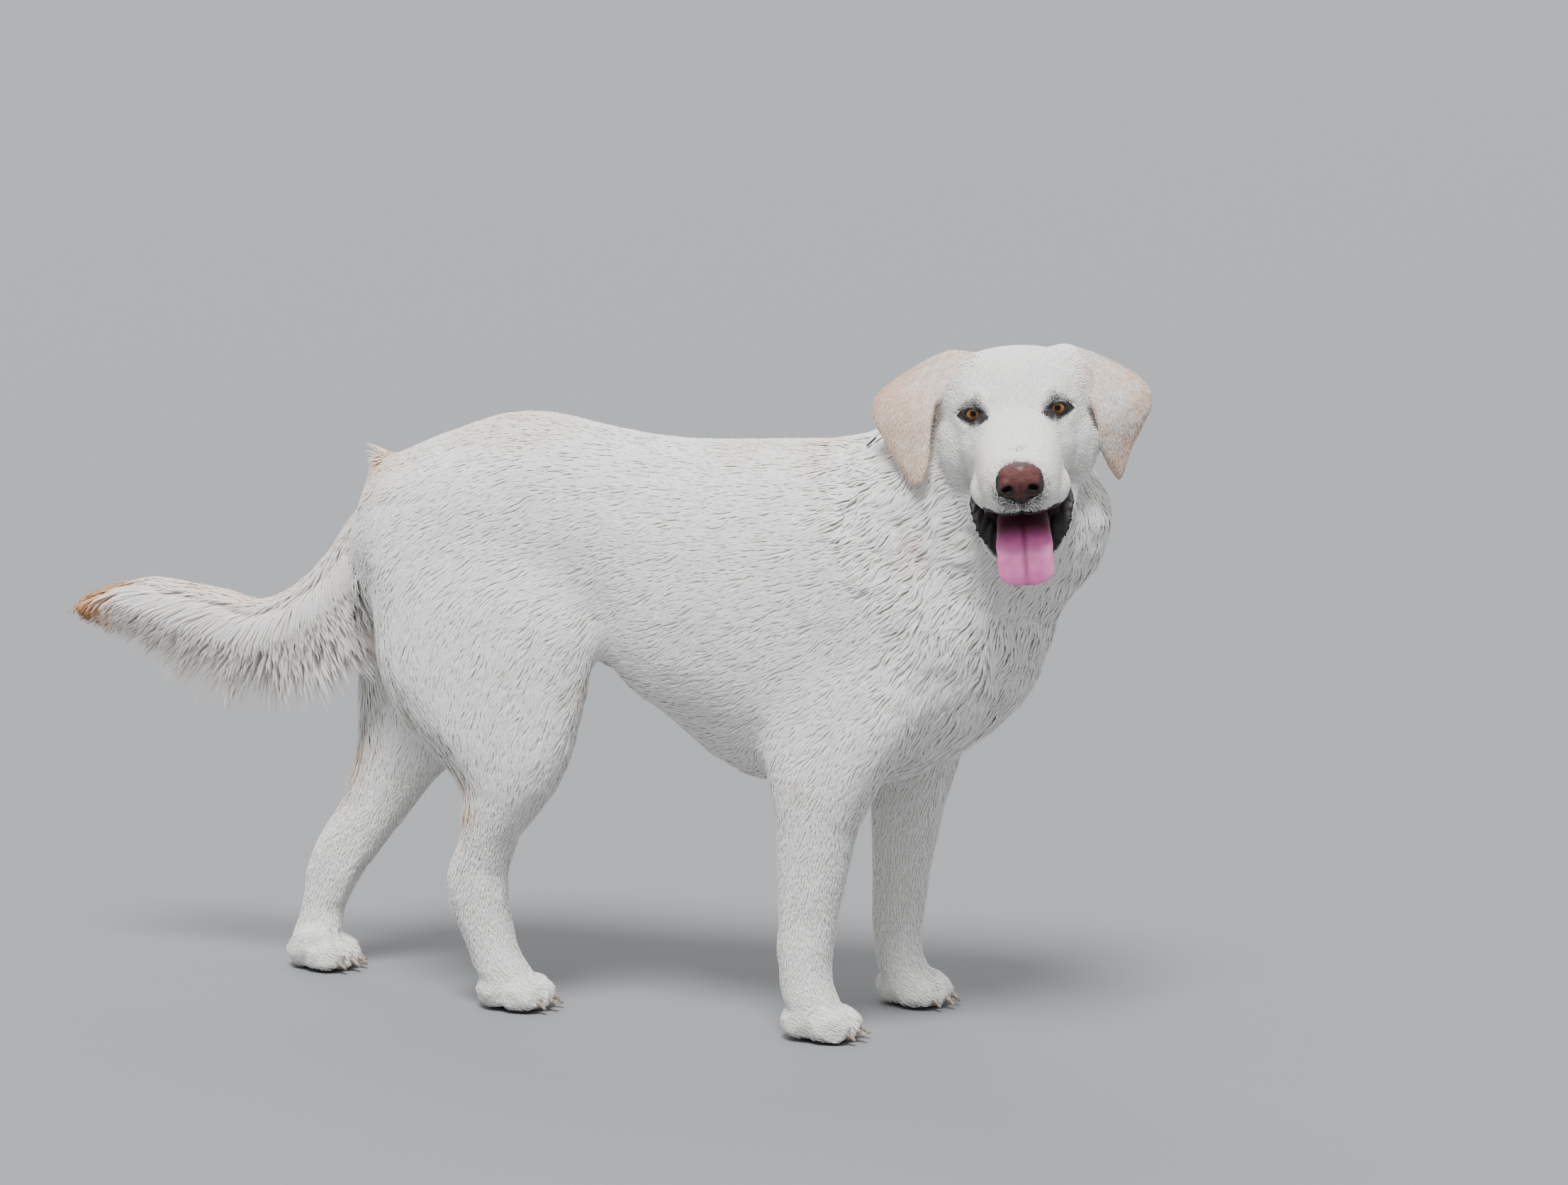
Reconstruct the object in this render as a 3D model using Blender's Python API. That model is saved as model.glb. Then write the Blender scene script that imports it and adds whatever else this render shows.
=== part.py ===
"""A standing pale retriever-type dog, life size, as solids out to the tips of its coat.

The dog faces -Y and its back is +Z, in metres. Sizes along the body are given as
"forward", which is -Y. Its left is +X. The head is turned to the dog's right.
"""

import math

import bmesh
import bpy
import numpy as np
from mathutils import Matrix, Vector

# Overall sizes
GAP = 0.0003
BODY_VOXEL = 0.0045
HEAD_VOXEL = 0.0026
PAW_VOXEL = 0.0026
TAIL_VOXEL = 0.0040

# Head placing: midpoint between the two irises, and the turn of the head
EYE_MID_X = -0.110
EYE_MID_FORWARD = 0.4548
EYE_MID_HEIGHT = 0.6763
HEAD_AZIMUTH = -73.8
HEAD_DIP = 10.0
HEAD_ROLL = 4.5

# Collar: the spot on the nape where it shows (x, forward, height)
NAPE = (-0.035, 0.300, 0.635)

# Eye, nose and mouth sizes, in the head's own frame (side, front, up)
EYE_SIDE = 0.0418
EYE_FRONT = -0.0085
EYE_RADIUS = 0.0115
FISSURE_HALF_WIDTH = 0.0165
FISSURE_HALF_HEIGHT = 0.0098
NOSE_FRONT = 0.1085
NOSE_UP = -0.0385
NOSE_HALF_WIDTH = 0.0240
NOSE_HALF_HEIGHT = 0.0195
MOUTH_CORNER_FRONT = 0.016
MOUTH_CORNER_UP = -0.078
JAW_TIP_FRONT = 0.058
JAW_TIP_UP = -0.136

# Paw sizes
TOE_RADIUS = 0.0118
TOE_LENGTH = 0.0230
TOE_HEIGHT = 0.0175
PAW_TOP = 0.046
CLAW_LENGTH = 0.0150
CLAW_RADIUS = 0.0033

# Colour and roughness of each kind of surface
FINISHES = {
    "coat": ((0.80, 0.76, 0.68), 0.90),
    "ear": ((0.74, 0.62, 0.48), 0.90),
    "nose": ((0.060, 0.032, 0.026), 0.45),
    "tongue": ((0.62, 0.26, 0.25), 0.35),
    "eye": ((0.060, 0.026, 0.010), 0.08),
    "claw": ((0.30, 0.24, 0.19), 0.40),
    "collar": ((0.012, 0.014, 0.030), 0.70),
}


def clear_scene():
    for obj in list(bpy.data.objects):
        bpy.data.objects.remove(obj, do_unlink=True)


def material(name, colour, roughness):
    made = bpy.data.materials.new(name)
    made.use_nodes = True
    shader = made.node_tree.nodes["Principled BSDF"]
    shader.inputs["Base Color"].default_value = (*colour, 1.0)
    shader.inputs["Roughness"].default_value = roughness
    return made


def new_object(name, points, faces):
    mesh = bpy.data.meshes.new(name)
    mesh.from_pydata([tuple(point) for point in points], [], faces)
    mesh.validate()
    mesh.update()
    obj = bpy.data.objects.new(name, mesh)
    bpy.context.scene.collection.objects.link(obj)
    return obj


def remove(obj):
    mesh = obj.data
    bpy.data.objects.remove(obj, do_unlink=True)
    bpy.data.meshes.remove(mesh)


def copy_of(obj, name):
    made = obj.copy()
    made.data = obj.data.copy()
    made.name = name
    bpy.context.scene.collection.objects.link(made)
    return made


def bake(obj):
    """Replace the mesh of the object with what its modifiers give."""
    bpy.context.view_layer.update()
    graph = bpy.context.evaluated_depsgraph_get()
    mesh = bpy.data.meshes.new_from_object(obj.evaluated_get(graph))
    old = obj.data
    obj.modifiers.clear()
    obj.data = mesh
    bpy.data.meshes.remove(old)
    return obj


# ---------------------------------------------------------------- shapes


def ring(centre, side, up, half_side, half_up, half_down, power, count, keel=0.0):
    """One closed cross-section: a superellipse, with its lower half narrowed by keel."""
    points = []
    for index in range(count):
        angle = 2.0 * math.pi * (index + 0.5) / count
        across = math.copysign(abs(math.cos(angle)) ** (2.0 / power), math.cos(angle))
        along = math.copysign(abs(math.sin(angle)) ** (2.0 / power), math.sin(angle))
        reach = half_up if along > 0.0 else half_down
        if along < 0.0:
            across *= 1.0 + keel * along
        points.append(centre + side * (half_side * across) + up * (reach * along))
    return points


def skin_rings(name, rings):
    """A closed solid through a run of rings, with a fan at each end."""
    count = len(rings[0])
    points = [point for one in rings for point in one]
    faces = []
    for row in range(len(rings) - 1):
        for index in range(count):
            after = (index + 1) % count
            low = row * count
            high = low + count
            faces.append((low + index, low + after, high + after, high + index))
    for row, turn in ((0, -1), (len(rings) - 1, 1)):
        centre = sum(rings[row], Vector()) / count
        points.append(centre)
        hub = len(points) - 1
        base = row * count
        for index in range(count):
            after = (index + 1) % count
            if turn > 0:
                faces.append((base + index, base + after, hub))
            else:
                faces.append((base + after, base + index, hub))
    obj = new_object(name, points, faces)
    outward(obj)
    return obj


def outward(obj):
    """Turn every face outward."""
    mesh = obj.data
    mesh.calc_loop_triangles()
    volume = 0.0
    for triangle in mesh.loop_triangles:
        a, b, c = (mesh.vertices[index].co for index in triangle.vertices)
        volume += a.dot(b.cross(c))
    if volume < 0.0:
        mesh.flip_normals()


def smooth_rows(rows, step):
    """Fill a table of sizes with rows between the given ones, along a smooth curve."""
    table = np.array(rows, float)
    where = np.concatenate([[0.0], np.cumsum(np.maximum(np.abs(np.diff(table[:, 0])), 1e-4))])
    count = max(3, int(round(where[-1] / step)) + 1)
    wanted = np.linspace(0.0, where[-1], count)
    slopes = np.gradient(table, where, axis=0)
    place = np.clip(np.searchsorted(where, wanted, side="right") - 1, 0, len(where) - 2)
    width = (where[place + 1] - where[place])[:, None]
    part = (wanted[:, None] - where[place][:, None]) / width
    first, second = table[place], table[place + 1]
    blend = (1.0 + 2.0 * part) * (1.0 - part) ** 2 * first
    blend += part * (1.0 - part) ** 2 * width * slopes[place]
    blend += part * part * (3.0 - 2.0 * part) * second
    blend += part * part * (part - 1.0) * width * slopes[place + 1]
    return blend


def body_point(x, forward, height):
    return Vector((x, -forward, height))


def level_tube(name, rows, power=2.2, count=28, step=0.02):
    """A limb from level sections: (height, back, front, x, half width)."""
    rings = []
    for height, back, front, x, half in smooth_rows(rows, step):
        centre = body_point(x, 0.5 * (back + front), height)
        reach = 0.5 * abs(front - back)
        side = Vector((1, 0, 0))
        ahead = Vector((0, -1, 0))
        rings.append(ring(centre, side, ahead, half, reach, reach, power, count))
    return skin_rings(name, rings)


def upright_tube(name, rows, power=2.1, count=36, step=0.02):
    """A trunk from upright sections: (forward, top, bottom, half width, x)."""
    rings = []
    for forward, top, bottom, half, x in smooth_rows(rows, step):
        centre = body_point(x, forward, 0.5 * (top + bottom))
        reach = 0.5 * (top - bottom)
        side = Vector((1, 0, 0))
        rings.append(ring(centre, side, Vector((0, 0, 1)), half, reach, reach, power, count))
    return skin_rings(name, rings)


def path_tube(name, rows, power=2.1, count=32, keel=0.0, place=body_point):
    """A tube along a path: (x, forward, height, half side, half up, half down)."""
    table = np.array(rows, float)
    along = np.concatenate([[0.0], np.cumsum(np.linalg.norm(np.diff(table[:, :3], axis=0), axis=1))])
    table = smooth_rows(np.column_stack([along, table]), 0.012)[:, 1:]
    centres = [place(*row[:3]) for row in table]
    level = place(1, 0, 0) - place(0, 0, 0)
    rings = []
    for index, row in enumerate(table):
        before = centres[max(index - 1, 0)]
        after = centres[min(index + 1, len(centres) - 1)]
        ahead = (after - before).normalized()
        side = (level - ahead * level.dot(ahead)).normalized()
        up = side.cross(ahead)
        if index and up.dot(last_up) < 0.0:
            up = -up
        if not index and up.dot(place(0, 0, 1) - place(0, 0, 0)) < 0.0:
            up = -up
        last_up = up
        rings.append(ring(centres[index], side, up, row[3], row[4], row[5], power, count, keel))
    return skin_rings(name, rings)


def ball(name, centre, radii, turn=None, cuts=3):
    """An ellipsoid, turned by the given matrix."""
    shape = bmesh.new()
    bmesh.ops.create_icosphere(shape, subdivisions=cuts, radius=1.0)
    matrix = Matrix.Translation(centre)
    if turn is not None:
        matrix = matrix @ turn.to_4x4()
    matrix = matrix @ Matrix.Diagonal((*radii, 1.0))
    bmesh.ops.transform(shape, matrix=matrix, verts=shape.verts)
    mesh = bpy.data.meshes.new(name)
    shape.to_mesh(mesh)
    shape.free()
    obj = bpy.data.objects.new(name, mesh)
    bpy.context.scene.collection.objects.link(obj)
    outward(obj)
    return obj


def lean(x=0.0, y=0.0, z=0.0):
    """A turn in degrees about X, then Y, then Z."""
    turn = Matrix.Rotation(math.radians(x), 3, "X")
    turn = Matrix.Rotation(math.radians(y), 3, "Y") @ turn
    return Matrix.Rotation(math.radians(z), 3, "Z") @ turn


# ---------------------------------------------------------------- joining and cutting


def join(name, objects):
    points = []
    faces = []
    for obj in objects:
        base = len(points)
        points += [obj.matrix_world @ vertex.co for vertex in obj.data.vertices]
        faces += [[base + index for index in face.vertices] for face in obj.data.polygons]
        remove(obj)
    return new_object(name, points, faces)


def blend_together(name, objects, voxel, passes, factor=0.5, extra=None):
    """Fuse overlapping shapes into one smooth closed surface.

    extra is (passes, low, high): more smoothing, from none at one height to all at another.
    """
    obj = join(name, objects)
    fuse = obj.modifiers.new("fuse", "REMESH")
    fuse.mode = "VOXEL"
    fuse.voxel_size = voxel
    if extra:
        bake(obj)
        group = obj.vertex_groups.new(name="upper")
        for vertex in obj.data.vertices:
            weight = (vertex.co.z - extra[1]) / (extra[2] - extra[1])
            group.add([vertex.index], min(1.0, max(0.0, weight)), "REPLACE")
        upper = obj.modifiers.new("upper", "SMOOTH")
        upper.factor = 0.8
        upper.iterations = extra[0]
        upper.vertex_group = "upper"
    soften = obj.modifiers.new("soften", "SMOOTH")
    soften.factor = factor
    soften.iterations = passes
    return bake(obj)


def thin_out(obj, triangles):
    """Reduce a surface to about this many triangles."""
    obj.data.calc_loop_triangles()
    now = len(obj.data.loop_triangles)
    fewer = obj.modifiers.new("fewer", "DECIMATE")
    fewer.decimate_type = "COLLAPSE"
    fewer.ratio = min(1.0, triangles / now)
    fewer.use_collapse_triangulate = True
    return bake(obj)


def boolean(obj, other, operation):
    cut = obj.modifiers.new("cut", "BOOLEAN")
    cut.solver = "EXACT"
    cut.operation = operation
    cut.object = other
    return bake(obj)


def grown(obj, name, amount):
    """A copy whose surface is moved out by this amount."""
    made = copy_of(obj, name)
    swell = made.modifiers.new("swell", "DISPLACE")
    swell.strength = amount
    swell.mid_level = 0.0
    return bake(made)


def biggest_piece(obj):
    """Keep only the largest connected piece of the mesh."""
    mesh = obj.data
    parent = list(range(len(mesh.vertices)))

    def root(index):
        while parent[index] != index:
            parent[index] = parent[parent[index]]
            index = parent[index]
        return index

    for edge in mesh.edges:
        a, b = root(edge.vertices[0]), root(edge.vertices[1])
        parent[a] = b
    counts = {}
    for index in range(len(mesh.vertices)):
        counts[root(index)] = counts.get(root(index), 0) + 1
    if len(counts) == 1:
        return obj
    keep = max(counts, key=counts.get)
    chosen = [index for index in range(len(mesh.vertices)) if root(index) == keep]
    number = {index: place for place, index in enumerate(chosen)}
    points = [mesh.vertices[index].co.copy() for index in chosen]
    faces = []
    for face in mesh.polygons:
        if face.vertices[0] in number:
            faces.append([number[index] for index in face.vertices])
    made = bpy.data.meshes.new(mesh.name)
    made.from_pydata(points, [], faces)
    made.update()
    obj.data = made
    bpy.data.meshes.remove(mesh)
    return obj


def keep_side(obj, point, normal, offset=0.0):
    """Cut with one plane and keep the part on the side the normal points to."""
    normal = Vector(normal).normalized()
    point = Vector(point) + normal * offset
    shape = bmesh.new()
    shape.from_mesh(obj.data)
    everything = list(shape.verts) + list(shape.edges) + list(shape.faces)
    cut = bmesh.ops.bisect_plane(
        shape,
        geom=everything,
        plane_co=point,
        plane_no=normal,
        clear_inner=True,
        dist=1e-6,
    )
    edges = [item for item in cut["geom_cut"] if isinstance(item, bmesh.types.BMEdge)]
    edges = [edge for edge in edges if edge.is_boundary]
    bmesh.ops.holes_fill(shape, edges=edges, sides=0)
    bmesh.ops.triangulate(shape, faces=[face for face in shape.faces if len(face.verts) > 4])
    bmesh.ops.recalc_face_normals(shape, faces=list(shape.faces))
    shape.to_mesh(obj.data)
    shape.free()
    outward(obj)
    return obj


# ---------------------------------------------------------------- the head's own frame


def head_matrix():
    azimuth = math.radians(HEAD_AZIMUTH)
    dip = math.radians(HEAD_DIP)
    front = Vector(
        (
            math.sin(azimuth) * math.cos(dip),
            -math.cos(azimuth) * math.cos(dip),
            -math.sin(dip),
        )
    )
    side = Vector((0, 0, 1)).cross(front).normalized()
    up = front.cross(side)
    turn = Matrix.Rotation(math.radians(HEAD_ROLL), 3, front)
    side = turn @ side
    up = turn @ up
    matrix = Matrix((side, front, up)).transposed().to_4x4()
    middle = body_point(EYE_MID_X, EYE_MID_FORWARD, EYE_MID_HEIGHT)
    return Matrix.Translation(middle) @ matrix


HEAD = head_matrix()


def head_point(side, front, up):
    """A point in the head's frame: side is the dog's left, front is toward the nose."""
    return HEAD @ Vector((side, front, up))


def head_ball(name, side, front, up, radii, turn=None, cuts=3):
    base = HEAD.to_3x3()
    return ball(name, head_point(side, front, up), radii, base @ (turn or Matrix.Identity(3)), cuts)


def head_tube(name, rows, power=2.6, count=36, step=0.012):
    """Sections square to the muzzle: (front, top, bottom, half width)."""
    axes = HEAD.to_3x3()
    side = axes @ Vector((1, 0, 0))
    up = axes @ Vector((0, 0, 1))
    rings = []
    for front, top, bottom, half in smooth_rows(rows, step):
        centre = head_point(0.0, front, 0.5 * (top + bottom))
        reach = 0.5 * (top - bottom)
        rings.append(ring(centre, side, up, half, reach, reach, power, count))
    return skin_rings(name, rings)


def head_slab(name, outline, half):
    """A block across the head with this outline of (front, up)."""
    left = [head_point(half, front, up) for front, up in outline]
    right = [head_point(-half, front, up) for front, up in outline]
    count = len(outline)
    faces = [tuple(range(count)), tuple(range(2 * count - 1, count - 1, -1))]
    for index in range(count):
        after = (index + 1) % count
        faces.append((index, index + count, after + count, after))
    obj = new_object(name, left + right, faces)
    outward(obj)
    return obj


# ---------------------------------------------------------------- tables of sizes

# forward, top, bottom, half width, x
TRUNK = (
    (-0.318, 0.528, 0.450, 0.030, 0.0),
    (-0.300, 0.566, 0.420, 0.060, 0.0),
    (-0.250, 0.602, 0.400, 0.088, 0.0),
    (-0.196, 0.625, 0.398, 0.101, 0.0),
    (-0.118, 0.646, 0.398, 0.105, 0.0),
    (-0.032, 0.633, 0.390, 0.101, 0.0),
    (0.055, 0.622, 0.320, 0.117, 0.0),
    (0.120, 0.623, 0.272, 0.128, 0.0),
    (0.200, 0.627, 0.253, 0.127, 0.0),
    (0.286, 0.627, 0.260, 0.119, 0.0),
    (0.350, 0.603, 0.288, 0.110, 0.0),
    (0.400, 0.570, 0.320, 0.094, 0.0),
    (0.440, 0.530, 0.375, 0.068, 0.0),
    (0.462, 0.490, 0.420, 0.030, 0.0),
)

# Mouth opening seen from the side: front, up
MOUTH = (
    (MOUTH_CORNER_FRONT, MOUTH_CORNER_UP),
    (0.045, -0.0835),
    (0.080, -0.0815),
    (0.105, -0.0765),
    (0.150, -0.060),
    (0.150, -0.185),
    (0.066, -0.1335),
    (0.050, -0.1205),
    (0.034, -0.1075),
)

# Block that parts the lower jaw from the head: front, up
JAW_REGION = (
    (MOUTH_CORNER_FRONT + 0.174, MOUTH_CORNER_UP - 0.100),
    (MOUTH_CORNER_FRONT - 0.074, MOUTH_CORNER_UP + 0.0425),
    (MOUTH_CORNER_FRONT - 0.090, -0.260),
    (MOUTH_CORNER_FRONT + 0.174, -0.260),
)

# x, forward, height, half side, half up, half down
NECK = (
    (0.000, 0.150, 0.430, 0.080, 0.100, 0.100),
    (0.000, 0.230, 0.480, 0.104, 0.128, 0.140),
    (0.000, 0.290, 0.525, 0.109, 0.108, 0.170),
    (0.000, 0.350, 0.580, 0.104, 0.088, 0.177),
    (-0.003, 0.392, 0.628, 0.097, 0.080, 0.172),
    (-0.009, 0.420, 0.660, 0.088, 0.068, 0.150),
)

# x, forward, height, half side, half up, half down
TAIL = (
    (0.000, -0.235, 0.550, 0.040, 0.036, 0.050),
    (0.000, -0.275, 0.535, 0.038, 0.034, 0.075),
    (0.000, -0.308, 0.505, 0.035, 0.030, 0.092),
    (0.001, -0.337, 0.465, 0.033, 0.028, 0.100),
    (0.002, -0.378, 0.426, 0.032, 0.027, 0.106),
    (0.003, -0.432, 0.402, 0.031, 0.026, 0.106),
    (0.004, -0.500, 0.415, 0.030, 0.028, 0.106),
    (0.005, -0.560, 0.423, 0.028, 0.028, 0.086),
    (0.006, -0.610, 0.417, 0.023, 0.025, 0.054),
    (0.007, -0.650, 0.407, 0.015, 0.017, 0.026),
    (0.007, -0.680, 0.402, 0.005, 0.005, 0.007),
)

# height, back, front, x, half width
FORELEG_RIGHT = (
    (0.470, 0.175, 0.365, -0.070, 0.038),
    (0.400, 0.170, 0.368, -0.080, 0.044),
    (0.340, 0.173, 0.350, -0.086, 0.045),
    (0.300, 0.178, 0.322, -0.089, 0.044),
    (0.262, 0.188, 0.299, -0.091, 0.041),
    (0.236, 0.194, 0.285, -0.090, 0.038),
    (0.200, 0.195, 0.274, -0.089, 0.035),
    (0.170, 0.195, 0.267, -0.088, 0.032),
    (0.140, 0.196, 0.261, -0.087, 0.030),
    (0.115, 0.195, 0.256, -0.086, 0.029),
    (0.095, 0.191, 0.253, -0.086, 0.030),
    (0.074, 0.190, 0.251, -0.085, 0.030),
    (0.055, 0.197, 0.253, -0.085, 0.029),
    (0.035, 0.203, 0.262, -0.085, 0.030),
    (0.018, 0.208, 0.270, -0.085, 0.030),
)
FORELEG_LEFT = (
    (0.470, 0.200, 0.385, 0.070, 0.038),
    (0.400, 0.203, 0.384, 0.081, 0.044),
    (0.340, 0.213, 0.370, 0.088, 0.045),
    (0.300, 0.224, 0.350, 0.092, 0.043),
    (0.262, 0.234, 0.335, 0.094, 0.040),
    (0.231, 0.242, 0.326, 0.094, 0.038),
    (0.200, 0.243, 0.318, 0.093, 0.035),
    (0.170, 0.244, 0.312, 0.092, 0.032),
    (0.140, 0.245, 0.307, 0.091, 0.030),
    (0.115, 0.245, 0.304, 0.091, 0.029),
    (0.090, 0.243, 0.301, 0.090, 0.030),
    (0.070, 0.243, 0.299, 0.090, 0.030),
    (0.050, 0.250, 0.299, 0.090, 0.029),
    (0.033, 0.256, 0.308, 0.090, 0.030),
    (0.018, 0.260, 0.316, 0.090, 0.030),
)
HINDLEG_RIGHT = (
    (0.575, -0.262, -0.130, -0.058, 0.030),
    (0.530, -0.276, -0.078, -0.068, 0.038),
    (0.480, -0.275, -0.032, -0.075, 0.046),
    (0.425, -0.267, -0.006, -0.080, 0.050),
    (0.380, -0.262, -0.014, -0.083, 0.048),
    (0.338, -0.242, -0.024, -0.085, 0.045),
    (0.296, -0.206, -0.034, -0.086, 0.041),
    (0.258, -0.168, -0.050, -0.084, 0.037),
    (0.225, -0.160, -0.076, -0.080, 0.033),
    (0.199, -0.166, -0.098, -0.076, 0.030),
    (0.170, -0.179, -0.114, -0.072, 0.027),
    (0.140, -0.189, -0.120, -0.069, 0.026),
    (0.108, -0.185, -0.119, -0.066, 0.025),
    (0.085, -0.177, -0.115, -0.063, 0.025),
    (0.055, -0.165, -0.107, -0.060, 0.027),
    (0.035, -0.156, -0.097, -0.058, 0.028),
    (0.018, -0.150, -0.090, -0.058, 0.028),
)
HINDLEG_LEFT = (
    (0.575, -0.268, -0.140, 0.058, 0.030),
    (0.530, -0.300, -0.105, 0.068, 0.038),
    (0.480, -0.322, -0.080, 0.075, 0.046),
    (0.420, -0.342, -0.080, 0.080, 0.050),
    (0.360, -0.353, -0.104, 0.083, 0.048),
    (0.300, -0.352, -0.160, 0.082, 0.043),
    (0.258, -0.352, -0.212, 0.078, 0.038),
    (0.223, -0.357, -0.256, 0.073, 0.033),
    (0.185, -0.370, -0.286, 0.067, 0.029),
    (0.155, -0.392, -0.308, 0.062, 0.027),
    (0.128, -0.404, -0.330, 0.058, 0.026),
    (0.103, -0.408, -0.346, 0.055, 0.025),
    (0.075, -0.414, -0.362, 0.053, 0.025),
    (0.050, -0.420, -0.368, 0.051, 0.027),
    (0.035, -0.424, -0.366, 0.050, 0.028),
    (0.018, -0.426, -0.362, 0.050, 0.028),
)

# front, top, bottom, half width
SKULL = (
    (-0.138, 0.012, -0.045, 0.036),
    (-0.118, 0.034, -0.074, 0.058),
    (-0.088, 0.045, -0.088, 0.070),
    (-0.058, 0.050, -0.092, 0.075),
    (-0.032, 0.048, -0.090, 0.073),
    (-0.012, 0.040, -0.086, 0.066),
    (0.004, 0.025, -0.082, 0.056),
    (0.018, 0.012, -0.080, 0.049),
    (0.035, 0.004, -0.080, 0.045),
    (0.060, -0.004, -0.080, 0.0425),
    (0.085, -0.011, -0.080, 0.0405),
    (0.103, -0.018, -0.077, 0.036),
    (0.113, -0.028, -0.066, 0.026),
)

# side, front, up, half side, half up, half down
JAW = (
    (0.0, -0.050, -0.066, 0.062, 0.030, 0.030),
    (0.0, -0.020, -0.084, 0.060, 0.026, 0.026),
    (0.0, 0.010, -0.104, 0.054, 0.022, 0.022),
    (0.0, 0.034, -0.121, 0.045, 0.017, 0.018),
    (0.0, 0.054, -0.134, 0.035, 0.013, 0.014),
    (0.0, 0.065, -0.141, 0.022, 0.008, 0.009),
)

# side, front, up, half side, half up, half down
TONGUE = (
    (0.0, 0.002, -0.093, 0.018, 0.005, 0.005),
    (0.0, 0.030, -0.099, 0.025, 0.006, 0.006),
    (0.0, 0.058, -0.108, 0.027, 0.0055, 0.0055),
    (0.0, 0.075, -0.117, 0.0275, 0.005, 0.005),
    (0.0, 0.084, -0.127, 0.0285, 0.0045, 0.0045),
    (0.0, 0.087, -0.137, 0.0275, 0.0042, 0.0042),
    (0.0, 0.088, -0.145, 0.0215, 0.0038, 0.0038),
    (0.0, 0.088, -0.150, 0.0110, 0.0030, 0.0030),
)

# name, x, forward, heading in degrees
PAWS = (
    ("fore_right", -0.086, 0.238, 6.0),
    ("fore_left", 0.091, 0.288, -6.0),
    ("hind_right", -0.059, -0.118, 4.0),
    ("hind_left", 0.050, -0.392, -4.0),
)

# up, inner side, inner front, outer side, outer front, half thickness
EAR_RIGHT = (
    (0.050, -0.034, -0.050, -0.058, -0.080, 0.0085),
    (0.041, -0.044, -0.044, -0.082, -0.084, 0.0080),
    (0.030, -0.056, -0.037, -0.104, -0.084, 0.0074),
    (0.018, -0.067, -0.032, -0.125, -0.081, 0.0068),
    (0.005, -0.077, -0.028, -0.141, -0.076, 0.0064),
    (-0.009, -0.081, -0.024, -0.145, -0.069, 0.0060),
    (-0.024, -0.084, -0.020, -0.140, -0.060, 0.0058),
    (-0.040, -0.087, -0.016, -0.131, -0.049, 0.0055),
    (-0.055, -0.091, -0.013, -0.123, -0.037, 0.0052),
    (-0.068, -0.096, -0.012, -0.116, -0.028, 0.0046),
    (-0.076, -0.101, -0.013, -0.110, -0.020, 0.0036),
)
EAR_LEFT = (
    (0.044, 0.038, -0.050, 0.060, -0.080, 0.0085),
    (0.034, 0.046, -0.044, 0.081, -0.086, 0.0080),
    (0.021, 0.057, -0.038, 0.102, -0.088, 0.0074),
    (0.007, 0.067, -0.034, 0.124, -0.088, 0.0068),
    (-0.008, 0.074, -0.031, 0.136, -0.085, 0.0064),
    (-0.024, 0.078, -0.029, 0.137, -0.081, 0.0060),
    (-0.040, 0.080, -0.030, 0.129, -0.074, 0.0058),
    (-0.057, 0.083, -0.033, 0.118, -0.066, 0.0055),
    (-0.073, 0.088, -0.038, 0.111, -0.058, 0.0050),
    (-0.087, 0.095, -0.045, 0.106, -0.053, 0.0042),
    (-0.095, 0.099, -0.048, 0.103, -0.051, 0.0034),
)

# ---------------------------------------------------------------- cutters


def block(name, low, high, grow=0.0):
    """A box from (x, forward, height) to (x, forward, height)."""
    corners = []
    for x in (low[0] - grow, high[0] + grow):
        for forward in (low[1] - grow, high[1] + grow):
            for height in (low[2] - grow, high[2] + grow):
                corners.append(body_point(x, forward, height))
    faces = [(0, 1, 3, 2), (4, 6, 7, 5), (0, 4, 5, 1), (2, 3, 7, 6), (0, 2, 6, 4), (1, 5, 7, 3)]
    obj = new_object(name, corners, faces)
    outward(obj)
    return obj


def offset_outline(outline, amount):
    """Move each side of an outline that bends one way out by this amount."""
    count = len(outline)
    middle = np.mean(np.array(outline), axis=0)
    lines = []
    for index in range(count):
        start = np.array(outline[index])
        end = np.array(outline[(index + 1) % count])
        along = (end - start) / np.linalg.norm(end - start)
        out = np.array((along[1], -along[0]))
        if out @ (start - middle) < 0.0:
            out = -out
        lines.append((start + out * amount, along))
    moved = []
    for index in range(count):
        start, along = lines[index - 1]
        other, along_other = lines[index]
        solve = np.array((along, -along_other)).T
        step = np.linalg.solve(solve, other - start)
        moved.append(tuple(start + along * step[0]))
    return moved


def section_of(obj, point, normal, count):
    """The outline in which a plane meets a surface, as distances at even angles."""
    shape = bmesh.new()
    shape.from_mesh(obj.data)
    everything = list(shape.verts) + list(shape.edges) + list(shape.faces)
    cut = bmesh.ops.bisect_plane(shape, geom=everything, plane_co=point, plane_no=normal)
    spots = [item.co.copy() for item in cut["geom_cut"] if isinstance(item, bmesh.types.BMVert)]
    shape.free()
    up = (Vector((0, 0, 1)) - normal * normal.z).normalized()
    side = up.cross(normal)
    flat = np.array([((spot - point).dot(side), (spot - point).dot(up)) for spot in spots])
    angles = np.arctan2(flat[:, 1], flat[:, 0])
    reach = np.hypot(flat[:, 0], flat[:, 1])
    order = np.argsort(angles)
    wanted = np.linspace(-math.pi, math.pi, count, endpoint=False)
    distances = np.interp(wanted, angles[order], reach[order], period=2.0 * math.pi)
    for _ in range(6):
        distances = 0.5 * distances + 0.25 * (np.roll(distances, 1) + np.roll(distances, -1))
    return wanted, distances, side, up


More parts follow.
